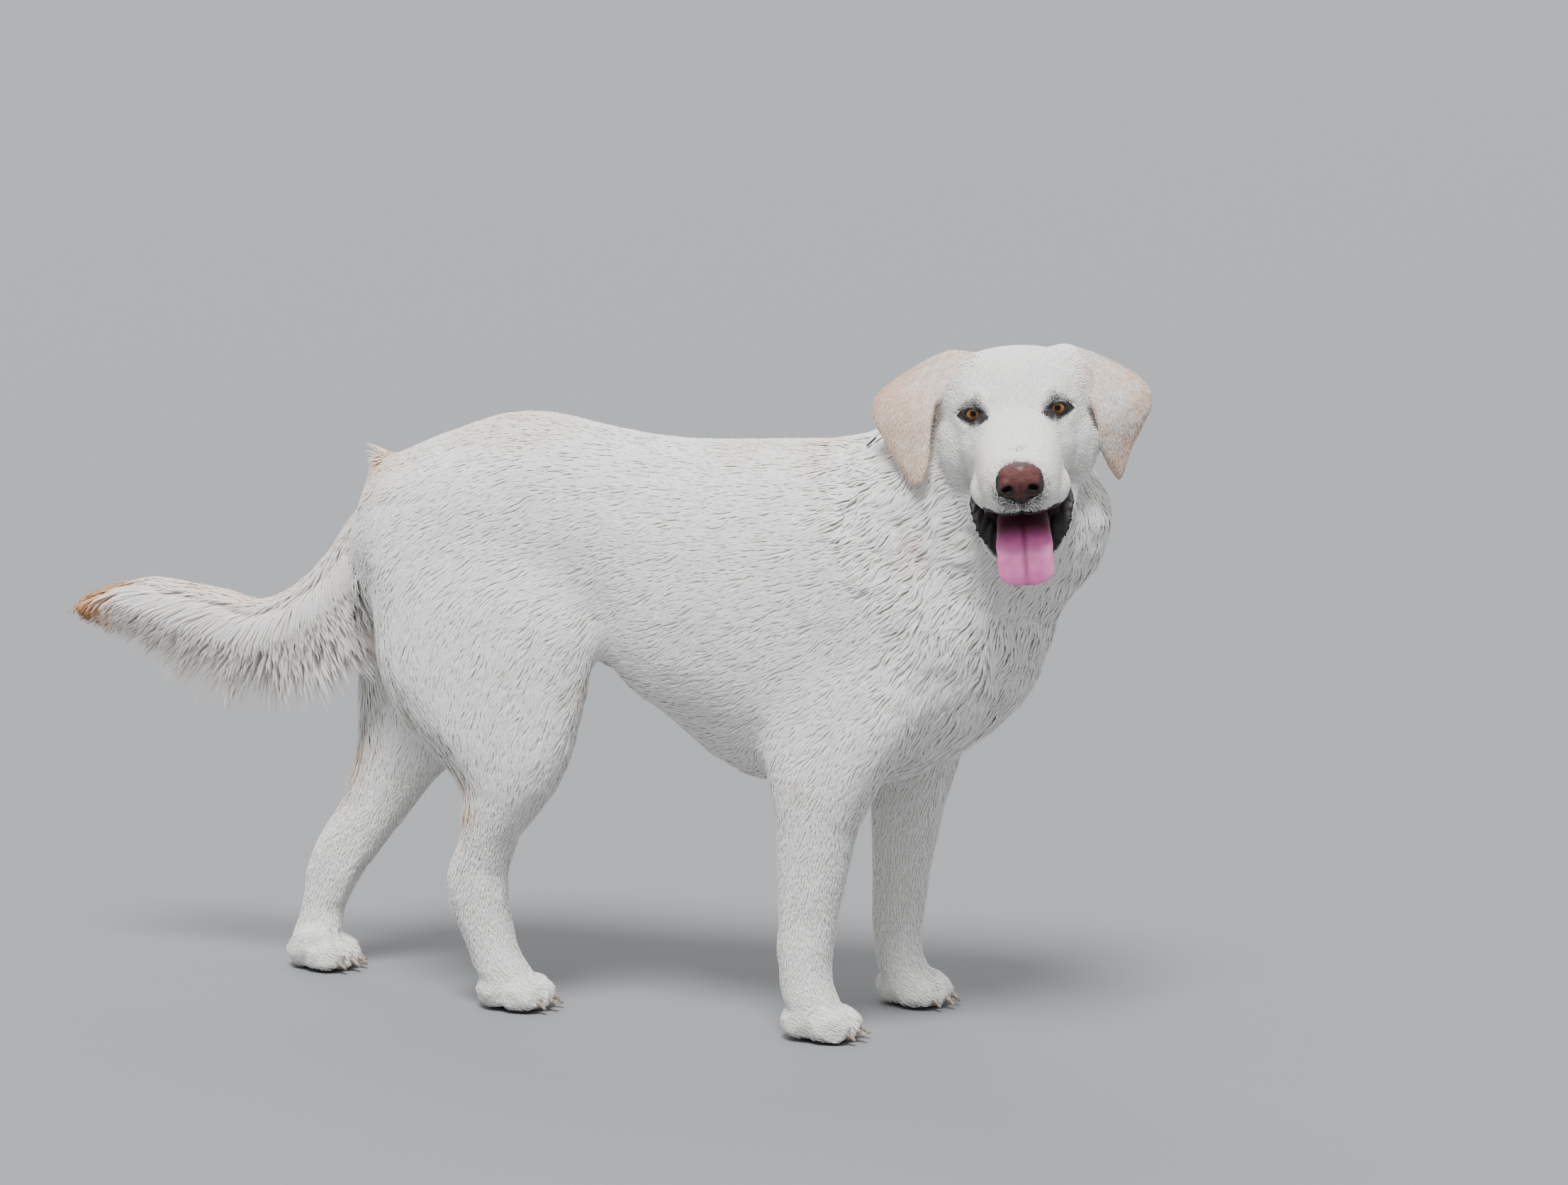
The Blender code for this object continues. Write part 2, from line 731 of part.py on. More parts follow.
def band(name, point, normal, angles, inner, outer, half_width, side, up):
    """A flat band bent into a closed loop round the neck."""
    points = []
    faces = []
    count = len(angles)
    for index in range(count):
        way = side * math.cos(angles[index]) + up * math.sin(angles[index])
        for reach, shift in (
            (inner[index], -half_width),
            (outer[index], -half_width),
            (outer[index], half_width),
            (inner[index], half_width),
        ):
            points.append(point + way * reach + normal * shift)
        after = (index + 1) % count
        for corner in range(4):
            beside = (corner + 1) % 4
            faces.append((4 * index + corner, 4 * index + beside, 4 * after + beside, 4 * after + corner))
    obj = new_object(name, points, faces)
    outward(obj)
    return obj


# ---------------------------------------------------------------- building the forms


def trunk_shapes():
    shapes = [upright_tube("trunk_form", TRUNK)]
    shapes.append(path_tube("neck_form", NECK))
    for side in (-1.0, 1.0):
        tilt = lean(x=-24.0)
        shapes.append(ball("shoulder", body_point(side * 0.072, 0.268, 0.470), (0.056, 0.072, 0.125), tilt))
        shapes.append(ball("ribs", body_point(side * 0.066, 0.110, 0.450), (0.062, 0.130, 0.125)))
        shapes.append(ball("haunch", body_point(side * 0.066, -0.165, 0.500), (0.048, 0.105, 0.105)))
    shapes.append(ball("forechest", body_point(0.0, 0.400, 0.430), (0.080, 0.062, 0.095)))
    shapes.append(ball("sheath", body_point(0.0, -0.015, 0.385), (0.018, 0.060, 0.022), lean(x=22.0)))
    shapes.append(ball("rump_tuft", body_point(0.0, -0.292, 0.577), (0.020, 0.014, 0.018), lean(x=30.0)))
    return shapes


def leg_shapes():
    return [
        level_tube("foreleg_right_form", FORELEG_RIGHT),
        level_tube("foreleg_left_form", FORELEG_LEFT),
        level_tube("hindleg_right_form", HINDLEG_RIGHT),
        level_tube("hindleg_left_form", HINDLEG_LEFT),
    ]


def head_shapes():
    shapes = [head_tube("skull_form", SKULL)]
    shapes.append(path_tube("jaw_form", JAW, place=head_point, power=2.3))
    shapes.append(head_ball("throat", 0.0, -0.070, -0.090, (0.060, 0.055, 0.040)))
    for side in (-1.0, 1.0):
        cheek = 0.053 if side < 0.0 else 0.049
        shapes.append(head_ball("cheek", side * cheek, -0.045, -0.048, (0.034, 0.052, 0.050)))
        shapes.append(head_ball("brow", side * 0.032, -0.022, 0.014, (0.027, 0.026, 0.020)))
        shapes.append(head_ball("under_eye", side * 0.032, 0.000, -0.034, (0.027, 0.038, 0.030)))
        shapes.append(head_ball("ear_root", side * 0.052, -0.070, 0.026, (0.025, 0.030, 0.022)))
        shapes.append(head_ball("flew", side * 0.023, 0.052, -0.063, (0.028, 0.046, 0.021)))
    return shapes


def eyelid_shapes():
    shapes = []
    for side in (-1.0, 1.0):
        shapes.append(head_ball("lid", side * EYE_SIDE, EYE_FRONT, 0.0, (0.0162, 0.0138, 0.0138)))
    return shapes


def nose_form():
    shapes = [head_ball("leather", 0.0, NOSE_FRONT, NOSE_UP, (NOSE_HALF_WIDTH, 0.0130, NOSE_HALF_HEIGHT))]
    for side in (-1.0, 1.0):
        wing = (0.0110, 0.0110, 0.0125)
        shapes.append(head_ball("wing", side * 0.0130, NOSE_FRONT + 0.001, NOSE_UP - 0.004, wing))
    shapes.append(head_ball("base", 0.0, NOSE_FRONT + 0.002, NOSE_UP - 0.014, (0.0085, 0.0090, 0.0090)))
    nose = thin_out(blend_together("nose", shapes, 0.0014, 4), 130)
    for side in (-1.0, 1.0):
        turn = lean(y=side * 25.0, z=side * 24.0)
        spot = (side * 0.0122, NOSE_FRONT + 0.0130, NOSE_UP - 0.0045)
        nostril = head_ball("nostril", *spot, (0.0052, 0.0095, 0.0040), turn, 2)
        nose = boolean(nose, nostril, "DIFFERENCE")
        remove(nostril)
    return nose


def paw_shapes(x, forward, heading):
    """Four toes and a heel, with the foot of the leg above them."""
    turn = Matrix.Rotation(math.radians(heading), 3, "Z")
    shapes = []
    for across, ahead in ((-0.0232, 0.0150), (-0.0083, 0.0240), (0.0083, 0.0240), (0.0232, 0.0150)):
        spot = body_point(x, forward, TOE_HEIGHT) + turn @ Vector((across, -ahead, 0.0))
        shapes.append(ball("toe", spot, (TOE_RADIUS, TOE_LENGTH, TOE_HEIGHT + 0.0012), turn))
    spot = body_point(x, forward, 0.0205) + turn @ Vector((0.0, 0.0140, 0.0))
    shapes.append(ball("heel", spot, (0.0270, 0.0310, 0.0218), turn))
    spot = body_point(x, forward, 0.034) + turn @ Vector((0.0, 0.0020, 0.0))
    shapes.append(ball("instep", spot, (0.0265, 0.0300, 0.0180), turn @ lean(x=18.0)))
    return shapes


def ear_form(name, rows):
    """A flap from level sections between its inner and outer edges."""
    rings = []
    for up, side_in, front_in, side_out, front_out, half in smooth_rows(rows, 0.009):
        inner = head_point(side_in, front_in, up)
        outer = head_point(side_out, front_out, up)
        across = outer - inner
        thick = across.normalized().cross(HEAD.to_3x3() @ Vector((0, 0, 1)))
        reach = 0.5 * across.length
        if thick.dot(HEAD.to_3x3() @ Vector((0, 1, 0))) < 0.0:
            thick = -thick
        centre = 0.5 * (inner + outer) + thick * (0.16 * reach)
        rings.append(ring(centre, across.normalized(), thick, reach, half, half, 2.4, 24))
    return skin_rings(name, rings)


def claw(name, tip_from, direction):
    """A curved, tapering claw."""
    side = Vector((0, 0, 1)).cross(direction).normalized()
    rings = []
    for step in range(4):
        part = step / 3.0
        drop = Vector((0, 0, -1)) * (0.0045 * part * part)
        centre = tip_from + direction * (CLAW_LENGTH * part) + drop
        reach = CLAW_RADIUS * (1.0 - 0.80 * part)
        rings.append(ring(centre, side, Vector((0, 0, 1)), 0.8 * reach, 1.15 * reach, reach, 2.0, 4))
    return skin_rings(name, rings)


# ---------------------------------------------------------------- the model


def set_material(obj, kind):
    """Give the piece its own material, and shade it smooth where it is round."""
    colour, roughness = FINISHES[kind]
    made = material(obj.name, colour, roughness)
    obj.data.materials.clear()
    obj.data.materials.append(made)
    for face in obj.data.polygons:
        face.material_index = 0
    obj.data.shade_smooth()
    obj.data.set_sharp_from_angle(angle=math.radians(50.0))


def finish_of(name):
    """The kind of surface that a piece has, from the first word of its name."""
    kind = name.split("_")[0]
    return kind if kind in FINISHES else "coat"


def centre_over_origin(parts):
    """Move every piece so that the box around all of them stands centred on the origin."""
    points = np.array([point.co[:] for obj in parts.values() for point in obj.data.vertices])
    middle = 0.5 * (points.min(axis=0) + points.max(axis=0))
    shift = Matrix.Translation((-middle[0], -middle[1], 0.0))
    for obj in parts.values():
        obj.data.transform(shift)


def build():
    clear_scene()
    bpy.context.scene.unit_settings.system = "METRIC"
    bpy.context.scene.unit_settings.scale_length = 1.0
    parts = {}

    # One smooth surface for the body, and a finer one for the head
    whole = trunk_shapes() + leg_shapes() + head_shapes()
    body = blend_together("body", whole, BODY_VOXEL, 16, extra=(60, 0.20, 0.38))
    collar_point = body_point(0.0, 0.362, 0.555)
    collar_normal = Vector((-0.54, -0.66, 0.52)).normalized()
    angles, reach, side, up = section_of(body, collar_point, collar_normal, 24)
    body = thin_out(body, 1660)
    head_set = head_shapes() + eyelid_shapes() + trunk_shapes()
    head = blend_together("head", head_set, HEAD_VOXEL, 22)
    near = [(-0.150, 0.200), (0.300, 0.200), (0.300, -0.350), (-0.150, -0.150)]
    rough = head_slab("near_head", near, 0.110)
    head = boolean(head, rough, "INTERSECT")
    remove(rough)
    head = thin_out(head, 1260)

    # Head against neck: they part along the rounded back of the skull
    shell = blend_together("shell", head_shapes(), 0.005, 10)
    wide = grown(shell, "shell_out", 0.0035)
    remove(shell)
    shell = thin_out(wide, 200)
    head = biggest_piece(boolean(head, shell, "INTERSECT"))
    beyond = grown(shell, "beyond", GAP)
    body = biggest_piece(boolean(body, beyond, "DIFFERENCE"))
    remove(shell)
    remove(beyond)

    # Limbs against trunk
    cuts = {
        "foreleg_right": ((-0.30, 0.170, -0.10), (-0.050, 0.342, 0.315)),
        "foreleg_left": ((0.050, 0.214, -0.10), (0.30, 0.362, 0.315)),
        "hindleg_right": ((-0.30, -0.60, -0.10), (-0.036, 0.003, 0.445)),
        "hindleg_left": ((0.036, -0.60, -0.10), (0.30, 0.003, 0.445)),
    }
    for name, (low, high) in cuts.items():
        inside = block("inside", low, high)
        beyond = block("beyond", low, high, GAP)
        limb = boolean(copy_of(body, name), inside, "INTERSECT")
        body = boolean(body, beyond, "DIFFERENCE")
        limb = biggest_piece(limb)
        parts[name] = keep_side(limb, (0, 0, PAW_TOP + GAP), (0, 0, 1))
        remove(inside)
        remove(beyond)
    body = biggest_piece(body)

    # Neck against trunk, with the slot in which the collar lies
    neck = keep_side(copy_of(body, "neck"), collar_point, collar_normal, 0.5 * GAP)
    trunk = keep_side(body, collar_point, -collar_normal, 0.5 * GAP)
    toward = body_point(*NAPE) - collar_point
    start = math.atan2(toward.dot(up), toward.dot(side))
    nape = 0.5 + 0.5 * np.cos(angles - start)
    depth = 0.026 - 0.0235 * nape**6
    outer = reach - depth
    inner = outer - 0.003
    shape = (collar_point, collar_normal, angles)
    parts["collar"] = band("collar", *shape, inner, outer, 0.0110, side, up)
    slot = band("slot", *shape, inner - GAP, outer + GAP, 0.0110 + GAP, side, up)
    way = side * math.cos(start) + up * math.sin(start)
    top = collar_point + way * float(np.interp(start, angles, reach))
    notch = ball("notch", top + way * 0.013, (0.026, 0.026, 0.018), way.to_track_quat("Z", "Y").to_matrix(), 2)
    parts["neck"] = biggest_piece(boolean(boolean(neck, slot, "DIFFERENCE"), notch, "DIFFERENCE"))
    parts["trunk"] = biggest_piece(boolean(boolean(trunk, slot, "DIFFERENCE"), notch, "DIFFERENCE"))
    remove(slot)
    remove(notch)

    # Tail, let into the rump
    tail = blend_together("tail", [path_tube("tail_form", TAIL, keel=0.75)], TAIL_VOXEL, 5)
    tail = thin_out(tail, 280)
    for other in ("trunk", "hindleg_right", "hindleg_left"):
        swollen = grown(parts[other], "swollen", GAP)
        tail = boolean(tail, swollen, "DIFFERENCE")
        remove(swollen)
    parts["tail"] = biggest_piece(tail)

    # Paws and claws
    for name, x, forward, heading in PAWS:
        leg = {"fore_right": FORELEG_RIGHT, "fore_left": FORELEG_LEFT}
        leg.update({"hind_right": HINDLEG_RIGHT, "hind_left": HINDLEG_LEFT})
        rows = [row for row in leg[name] if row[0] < 0.13]
        shapes = paw_shapes(x, forward, heading) + [level_tube("shank", rows, step=0.012)]
        paw = blend_together("paw_" + name, shapes, PAW_VOXEL, 5)
        paw = thin_out(paw, 170)
        paw = keep_side(paw, (0, 0, PAW_TOP), (0, 0, -1))
        paw = keep_side(paw, (0, 0, 0), (0, 0, 1))
        paw = biggest_piece(paw)
        turn = Matrix.Rotation(math.radians(heading), 3, "Z")
        spots = [(-0.0235, 0.0350), (-0.0083, 0.0440), (0.0083, 0.0440), (0.0235, 0.0350)]
        for number, (across, ahead) in enumerate(spots):
            start = body_point(x, forward, 0.0150) + turn @ Vector((across, 0.004 - ahead, 0.0))
            direction = (turn @ Vector((0.12 * across / 0.0235, -0.93, -0.30))).normalized()
            label = "claw_%s_%d" % (name, number + 1)
            parts[label] = claw(label, start, direction)
            swollen = grown(parts[label], "swollen", GAP)
            paw = boolean(paw, swollen, "DIFFERENCE")
            remove(swollen)
        parts["paw_" + name] = biggest_piece(paw)

    # Eyes in their sockets
    for label, sign in (("right", -1.0), ("left", 1.0)):
        centre = head_point(sign * EYE_SIDE, EYE_FRONT, 0.0)
        eye = ball("eye_" + label, centre, [EYE_RADIUS] * 3)
        parts["eye_" + label] = thin_out(eye, 90)
        socket = grown(parts["eye_" + label], "socket", GAP)
        head = boolean(head, socket, "DIFFERENCE")
        remove(socket)
        size = (FISSURE_HALF_WIDTH, 0.015, FISSURE_HALF_HEIGHT)
        lens = head_ball("fissure", sign * EYE_SIDE, EYE_FRONT + 0.016, 0.0, size, lean(y=-sign * 8.0), 2)
        head = boolean(head, lens, "DIFFERENCE")
        remove(lens)

    # Nose, open mouth and tongue
    parts["nose"] = nose_form()
    parts["tongue"] = thin_out(path_tube("tongue", TONGUE, place=head_point, power=2.6, count=20), 170)
    mouth = head_slab("mouth", MOUTH, 0.100)
    head = boolean(head, mouth, "DIFFERENCE")
    remove(mouth)
    hollow = head_ball("hollow", 0.0, 0.024, -0.094, (0.027, 0.046, 0.0135), lean(x=-24.0), 2)
    head = boolean(head, hollow, "DIFFERENCE")
    remove(hollow)
    for other in ("nose", "tongue"):
        swollen = grown(parts[other], "swollen", GAP)
        head = boolean(head, swollen, "DIFFERENCE")
        remove(swollen)
    inside = head_slab("jaw_region", JAW_REGION, 0.120)
    beyond = head_slab("jaw_region_out", offset_outline(JAW_REGION, GAP), 0.120 + GAP)
    parts["lower_jaw"] = biggest_piece(boolean(copy_of(head, "lower_jaw"), inside, "INTERSECT"))
    head = biggest_piece(boolean(head, beyond, "DIFFERENCE"))
    remove(inside)
    remove(beyond)

    # Ears, let into the sides of the skull
    for label, rows in (("right", EAR_RIGHT), ("left", EAR_LEFT)):
        ear = blend_together("ear_" + label, [ear_form("ear", rows)], 0.0022, 3)
        ear = thin_out(ear, 170)
        swollen = grown(head, "swollen", GAP)
        ear = biggest_piece(boolean(ear, swollen, "DIFFERENCE"))
        remove(swollen)
        swollen = grown(ear, "swollen", GAP)
        parts["neck"] = biggest_piece(boolean(parts["neck"], swollen, "DIFFERENCE"))
        remove(swollen)
        parts["ear_" + label] = ear
    parts["head"] = head

    centre_over_origin(parts)
    for name, obj in parts.items():
        obj.name = name
        set_material(obj, finish_of(name))


build()
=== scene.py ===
"""Looks of a standing pale retriever-type dog: one skin, a coat of solid tufts, and its face.

Metres, with the dog facing -Y, its back +Z and its left +X. Two local frames are read from the
CAD's own pieces: the head's (side, front, up), centred between the eyes, and the body's
(x, forward, height), whose zero is on the floor.
"""

import math

import bpy
import numpy as np
from mathutils import Matrix, Vector
from mathutils.bvhtree import BVHTree
from mathutils.kdtree import KDTree


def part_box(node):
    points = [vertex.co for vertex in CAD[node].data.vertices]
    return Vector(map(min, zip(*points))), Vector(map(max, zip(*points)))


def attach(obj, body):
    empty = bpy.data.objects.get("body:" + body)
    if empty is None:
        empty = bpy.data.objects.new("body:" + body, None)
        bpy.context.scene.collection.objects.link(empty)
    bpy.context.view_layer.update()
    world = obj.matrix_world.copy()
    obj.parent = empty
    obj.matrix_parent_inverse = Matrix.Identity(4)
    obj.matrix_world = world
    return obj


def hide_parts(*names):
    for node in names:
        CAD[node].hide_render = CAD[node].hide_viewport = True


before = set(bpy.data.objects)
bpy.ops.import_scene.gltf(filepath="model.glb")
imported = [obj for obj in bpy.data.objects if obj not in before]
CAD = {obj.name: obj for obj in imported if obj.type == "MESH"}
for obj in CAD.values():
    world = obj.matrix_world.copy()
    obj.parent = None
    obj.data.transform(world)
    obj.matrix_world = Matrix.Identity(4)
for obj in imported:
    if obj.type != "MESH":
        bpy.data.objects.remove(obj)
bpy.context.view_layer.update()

# The head's turn in degrees, and the eyes in its frame
HEAD_AZIMUTH = -73.8
HEAD_DIP = 10.0
HEAD_ROLL = 4.5
EYE_FRONT = -0.0085
EYE_SIDE = 0.0418
EYE_RADIUS = 0.0115
# The midpoint between the eyes in the body's frame: x, forward, height
EYES_IN_BODY = (-0.110, 0.4548, 0.6763)

# Skin
SKIN_VOXEL = 0.0024
SKIN_TRIANGLES = 116000
WELD = 0.0004

# Tufts: the bake map, each tuft's patch on it, and the most triangles in one piece
UV_NAME = "OFBake"
PATCH = 0.003
PIECE_TRIANGLES = 195000

FLESH = ["trunk", "neck", "head", "lower_jaw", "ear_left", "ear_right", "tail"]
for place in ("fore", "hind"):
    for hand in ("left", "right"):
        FLESH.append("%sleg_%s" % (place, hand))
        FLESH.append("paw_%s_%s" % (place, hand))

random = np.random.default_rng(7)


# ---------------------------------------------------------------- frames


def middle_of(node):
    low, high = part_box(node)
    return 0.5 * (low + high)


def direction(azimuth, rise):
    """Turned by the azimuth from -Y towards +X, and up by the rise, in degrees."""
    turn, rise = math.radians(azimuth), math.radians(rise)
    flat = math.cos(rise)
    return Vector((math.sin(turn) * flat, -math.cos(turn) * flat, math.sin(rise)))


def head_axes():
    """Columns: the head's side (its left), front and up."""
    front = direction(HEAD_AZIMUTH, -HEAD_DIP)
    side = Vector((0, 0, 1)).cross(front).normalized()
    roll = Matrix.Rotation(math.radians(HEAD_ROLL), 3, front)
    return np.array([roll @ side, front, roll @ front.cross(side)]).T


HEAD = head_axes()
EYES = 0.5 * np.array(middle_of("eye_left") + middle_of("eye_right")) - HEAD[:, 1] * EYE_FRONT
BODY_ZERO = EYES - np.array((EYES_IN_BODY[0], -EYES_IN_BODY[1], EYES_IN_BODY[2]))


def to_head(points):
    return (points - EYES) @ HEAD


def from_head(points):
    return np.asarray(points, float) @ HEAD.T + EYES


def mirrored(head):
    """Both halves of the head folded onto its left."""
    return np.column_stack([np.abs(head[:, 0]), head[:, 1], head[:, 2]])


def to_body(points):
    """(x, forward, height) of world points."""
    local = points - BODY_ZERO
    return np.stack([local[..., 0], -local[..., 1], local[..., 2]], axis=-1)


def from_body(points):
    points = np.asarray(points, float)
    return np.stack([points[..., 0], -points[..., 1], points[..., 2]], axis=-1) + BODY_ZERO


# ---------------------------------------------------------------- numbers


def unit(vectors):
    return vectors / np.maximum(np.linalg.norm(vectors, axis=-1, keepdims=True), 1e-12)


DOWN = np.array((0.0, 0.0, -1.0))


def turns(count):
    """Evenly spaced angles, once round."""
    return np.linspace(0.0, 2.0 * math.pi, count, endpoint=False)


def step_up(values, low, high):
    """0 below low, 1 above high, smooth between. low above high turns it round."""
    t = np.clip((values - low) / (high - low), 0.0, 1.0)
    return t * t * (3.0 - 2.0 * t)


def bump_at(points, centre, radius):
    """1 at the centre, falling smoothly to 0 at the radius, which may differ by axis."""
    away = np.linalg.norm((points - np.array(centre)) / np.array(radius), axis=-1)
    return step_up(away, 1.0, 0.0)


def waves(points, size, seed):
    """Smooth noise of about -1 to 1 with features of that size."""
    rng = np.random.default_rng(seed)
    total = np.zeros(points.shape[:-1])
    for _ in range(7):
        along = unit(rng.normal(size=3)) * (2.0 * math.pi / size * rng.uniform(0.6, 1.3))
        total += np.sin(points @ along + rng.uniform(0, 6.28))
    return total / 2.6


# ---------------------------------------------------------------- meshes


def vertex_normals(points, tris):
    a, b, c = (points[tris[:, corner]] for corner in range(3))
    flat = np.cross(b - a, c - a)
    total = np.zeros_like(points)
    for corner in range(3):
        for axis in range(3):
            total[:, axis] += np.bincount(tris[:, corner], flat[:, axis], len(points))
    return unit(total)


class Net:
    """The edges of a mesh, for averaging any values over neighbouring points."""

    def __init__(self, count, tris):
        pairs = np.concatenate([tris[:, [0, 1]], tris[:, [1, 2]], tris[:, [2, 0]]])
        pairs = np.unique(np.sort(pairs, axis=1), axis=0)
        self.count = count
        self.start = np.concatenate([pairs[:, 0], pairs[:, 1]])
        self.end = np.concatenate([pairs[:, 1], pairs[:, 0]])
        self.degree = np.maximum(np.bincount(self.start, minlength=count), 1)

    def mean(self, values):
        """The mean of each point's neighbours."""
        if values.ndim == 1:
            return np.bincount(self.start, values[self.end], self.count) / self.degree
        columns = [self.mean(values[:, column]) for column in range(values.shape[1])]
        return np.stack(columns, axis=1)

    def spread(self, values, passes, weight=0.5):
        """Draws each value toward its neighbours' mean."""
        for _ in range(passes):
            values = values + weight * (self.mean(values) - values)
        return values

    def faired(self, points, passes, mask):
        """Smooths without shrinking, by a step in and a slightly larger step out."""
        mask = mask[:, None]
        for _ in range(passes):
            points = points + 0.50 * mask * (self.mean(points) - points)
            points = points - 0.52 * mask * (self.mean(points) - points)
        return points


def new_object(name, points, tris):
    """A smooth-shaded mesh object in the scene."""
    mesh = bpy.data.meshes.new(name)
    mesh.vertices.add(len(points))
    mesh.vertices.foreach_set("co", np.asarray(points, np.float32).ravel())
    mesh.loops.add(len(tris) * 3)
    mesh.loops.foreach_set("vertex_index", np.asarray(tris, np.int32).ravel())
    mesh.polygons.add(len(tris))
    mesh.polygons.foreach_set("loop_start", np.arange(0, len(tris) * 3, 3, dtype=np.int32))
    mesh.update(calc_edges=True)
    mesh.shade_smooth()
    obj = bpy.data.objects.new(name, mesh)
    bpy.context.scene.collection.objects.link(obj)
    return obj


def arrays_of(mesh):
    mesh.calc_loop_triangles()
    points = np.empty(len(mesh.vertices) * 3, np.float32)
    mesh.vertices.foreach_get("co", points)
    tris = np.empty(len(mesh.loop_triangles) * 3, np.int32)
    mesh.loop_triangles.foreach_get("vertices", tris)
    return points.reshape(-1, 3).astype(float), tris.reshape(-1, 3).astype(np.int64)


def baked(obj):
    """Points and triangles of the object with its modifiers, which is then removed."""
    bpy.context.view_layer.update()
    graph = bpy.context.evaluated_depsgraph_get()
    mesh = bpy.data.meshes.new_from_object(obj.evaluated_get(graph))
    points, tris = arrays_of(mesh)
    old = obj.data
    bpy.data.objects.remove(obj)
    bpy.data.meshes.remove(old)
    bpy.data.meshes.remove(mesh)
    return points, tris


def welded(node):
    """Points and triangles of a CAD node, with coincident points merged."""
    points, tris = arrays_of(CAD[node].data)
    keys = np.round(points * 1e5).astype(np.int64)
    _, first, index = np.unique(keys, axis=0, return_index=True, return_inverse=True)
    tris = index.reshape(-1)[tris]
    whole = (tris[:, 0] != tris[:, 1]) & (tris[:, 1] != tris[:, 2]) & (tris[:, 2] != tris[:, 0])
    return points[first], tris[whole]


def tree_of(points, tris):
    """A search tree over a mesh."""
    return BVHTree.FromPolygons(points.tolist(), tris.tolist())


def stacked(shapes):
    """Several shapes as one set of points and triangles."""
    points, tris, start = [], [], 0
    for some_points, some_tris in shapes:
        points.append(some_points)
        tris.append(some_tris + start)
        start += len(some_points)
    return np.concatenate(points), np.concatenate(tris)


def remeshed(points, tris, voxel):
    """One closed form round the shape, made of even small faces."""
    obj = new_object("form", points, tris)
    modifier = obj.modifiers.new("remesh", "REMESH")
    modifier.mode = "VOXEL"
    modifier.voxel_size = voxel
    return baked(obj)


def ellipsoid(centre, radii, axes, count=24):
    """A closed ball with its three radii along the columns of axes."""
    points, tris = [(0.0, 0.0, 1.0)], []
    rings = count // 2
    for row in range(1, rings):
        polar = math.pi * row / rings
        for column in range(count):
            turn = 2.0 * math.pi * column / count
            flat = math.sin(polar)
            points.append((flat * math.cos(turn), flat * math.sin(turn), math.cos(polar)))
    points.append((0.0, 0.0, -1.0))
    last = len(points) - 1
    for column in range(count):
        after = (column + 1) % count
        tris.append((0, 1 + column, 1 + after))
        tris.append((last, last - count + after, last - count + column))
        for row in range(rings - 2):
            a, b = 1 + row * count + column, 1 + row * count + after
            tris.append((a, a + count, b + count))
            tris.append((a, b + count, b))
    points = np.array(points) * np.array(radii)
    return points @ np.asarray(axes).T + np.array(centre), np.array(tris)


def refined(points, tris, inside):
    """Splits every edge that has both ends inside, and the triangles with them."""
    pairs = np.stack([tris, np.roll(tris, -1, axis=1)], axis=2).reshape(-1, 2)
    pairs = np.sort(pairs, axis=1)
    edges, index = np.unique(pairs, axis=0, return_inverse=True)
    index = index.reshape(-1, 3)
    split = inside[edges[:, 0]] & inside[edges[:, 1]]
    middle = np.full(len(edges), -1)
    middle[split] = len(points) + np.arange(split.sum())
    points = np.concatenate([points, points[edges[split]].mean(axis=1)])
    mids = middle[index]
    many = (mids >= 0).sum(axis=1)
    kept = [tris[many == 0]]
    t, m = tris[many == 3], mids[many == 3]
    kept += [np.stack([t[:, 0], m[:, 0], m[:, 2]], 1), np.stack([t[:, 1], m[:, 1], m[:, 0]], 1)]
    kept += [np.stack([t[:, 2], m[:, 2], m[:, 1]], 1), m]
    for corner in range(3):
        one = (many == 1) & (mids[:, corner] >= 0)
        t = np.roll(tris[one], -corner, axis=1)
        m = mids[one, corner]
        kept += [np.stack([t[:, 0], m, t[:, 2]], 1), np.stack([m, t[:, 1], t[:, 2]], 1)]
    return points, np.concatenate(kept)


def thinned(points, tris, keep, target):
    """Fewer triangles away from the points to keep."""
    obj = new_object("form", points, tris)
    group = obj.vertex_groups.new(name="thin")
    group.add(np.flatnonzero(~keep).tolist(), 1.0, "REPLACE")
    modifier = obj.modifiers.new("thin", "DECIMATE")
    modifier.ratio = target / len(tris)
    modifier.vertex_group = "thin"
    modifier.vertex_group_factor = 1.0
    modifier.use_collapse_triangulate = True
    return baked(obj)


# ---------------------------------------------------------------- skin

# The tail's own middle line under its plume: x, forward, height, radius
TAIL_CORE = (
    (0.000, -0.250, 0.552, 0.027),
    (0.000, -0.285, 0.536, 0.024),
    (0.000, -0.312, 0.506, 0.021),
    (0.001, -0.340, 0.468, 0.019),
    (0.002, -0.380, 0.430, 0.017),
    (0.003, -0.432, 0.406, 0.015),
    (0.004, -0.500, 0.418, 0.013),
    (0.005, -0.560, 0.427, 0.011),
    (0.006, -0.610, 0.421, 0.008),
    (0.007, -0.645, 0.411, 0.005),
)

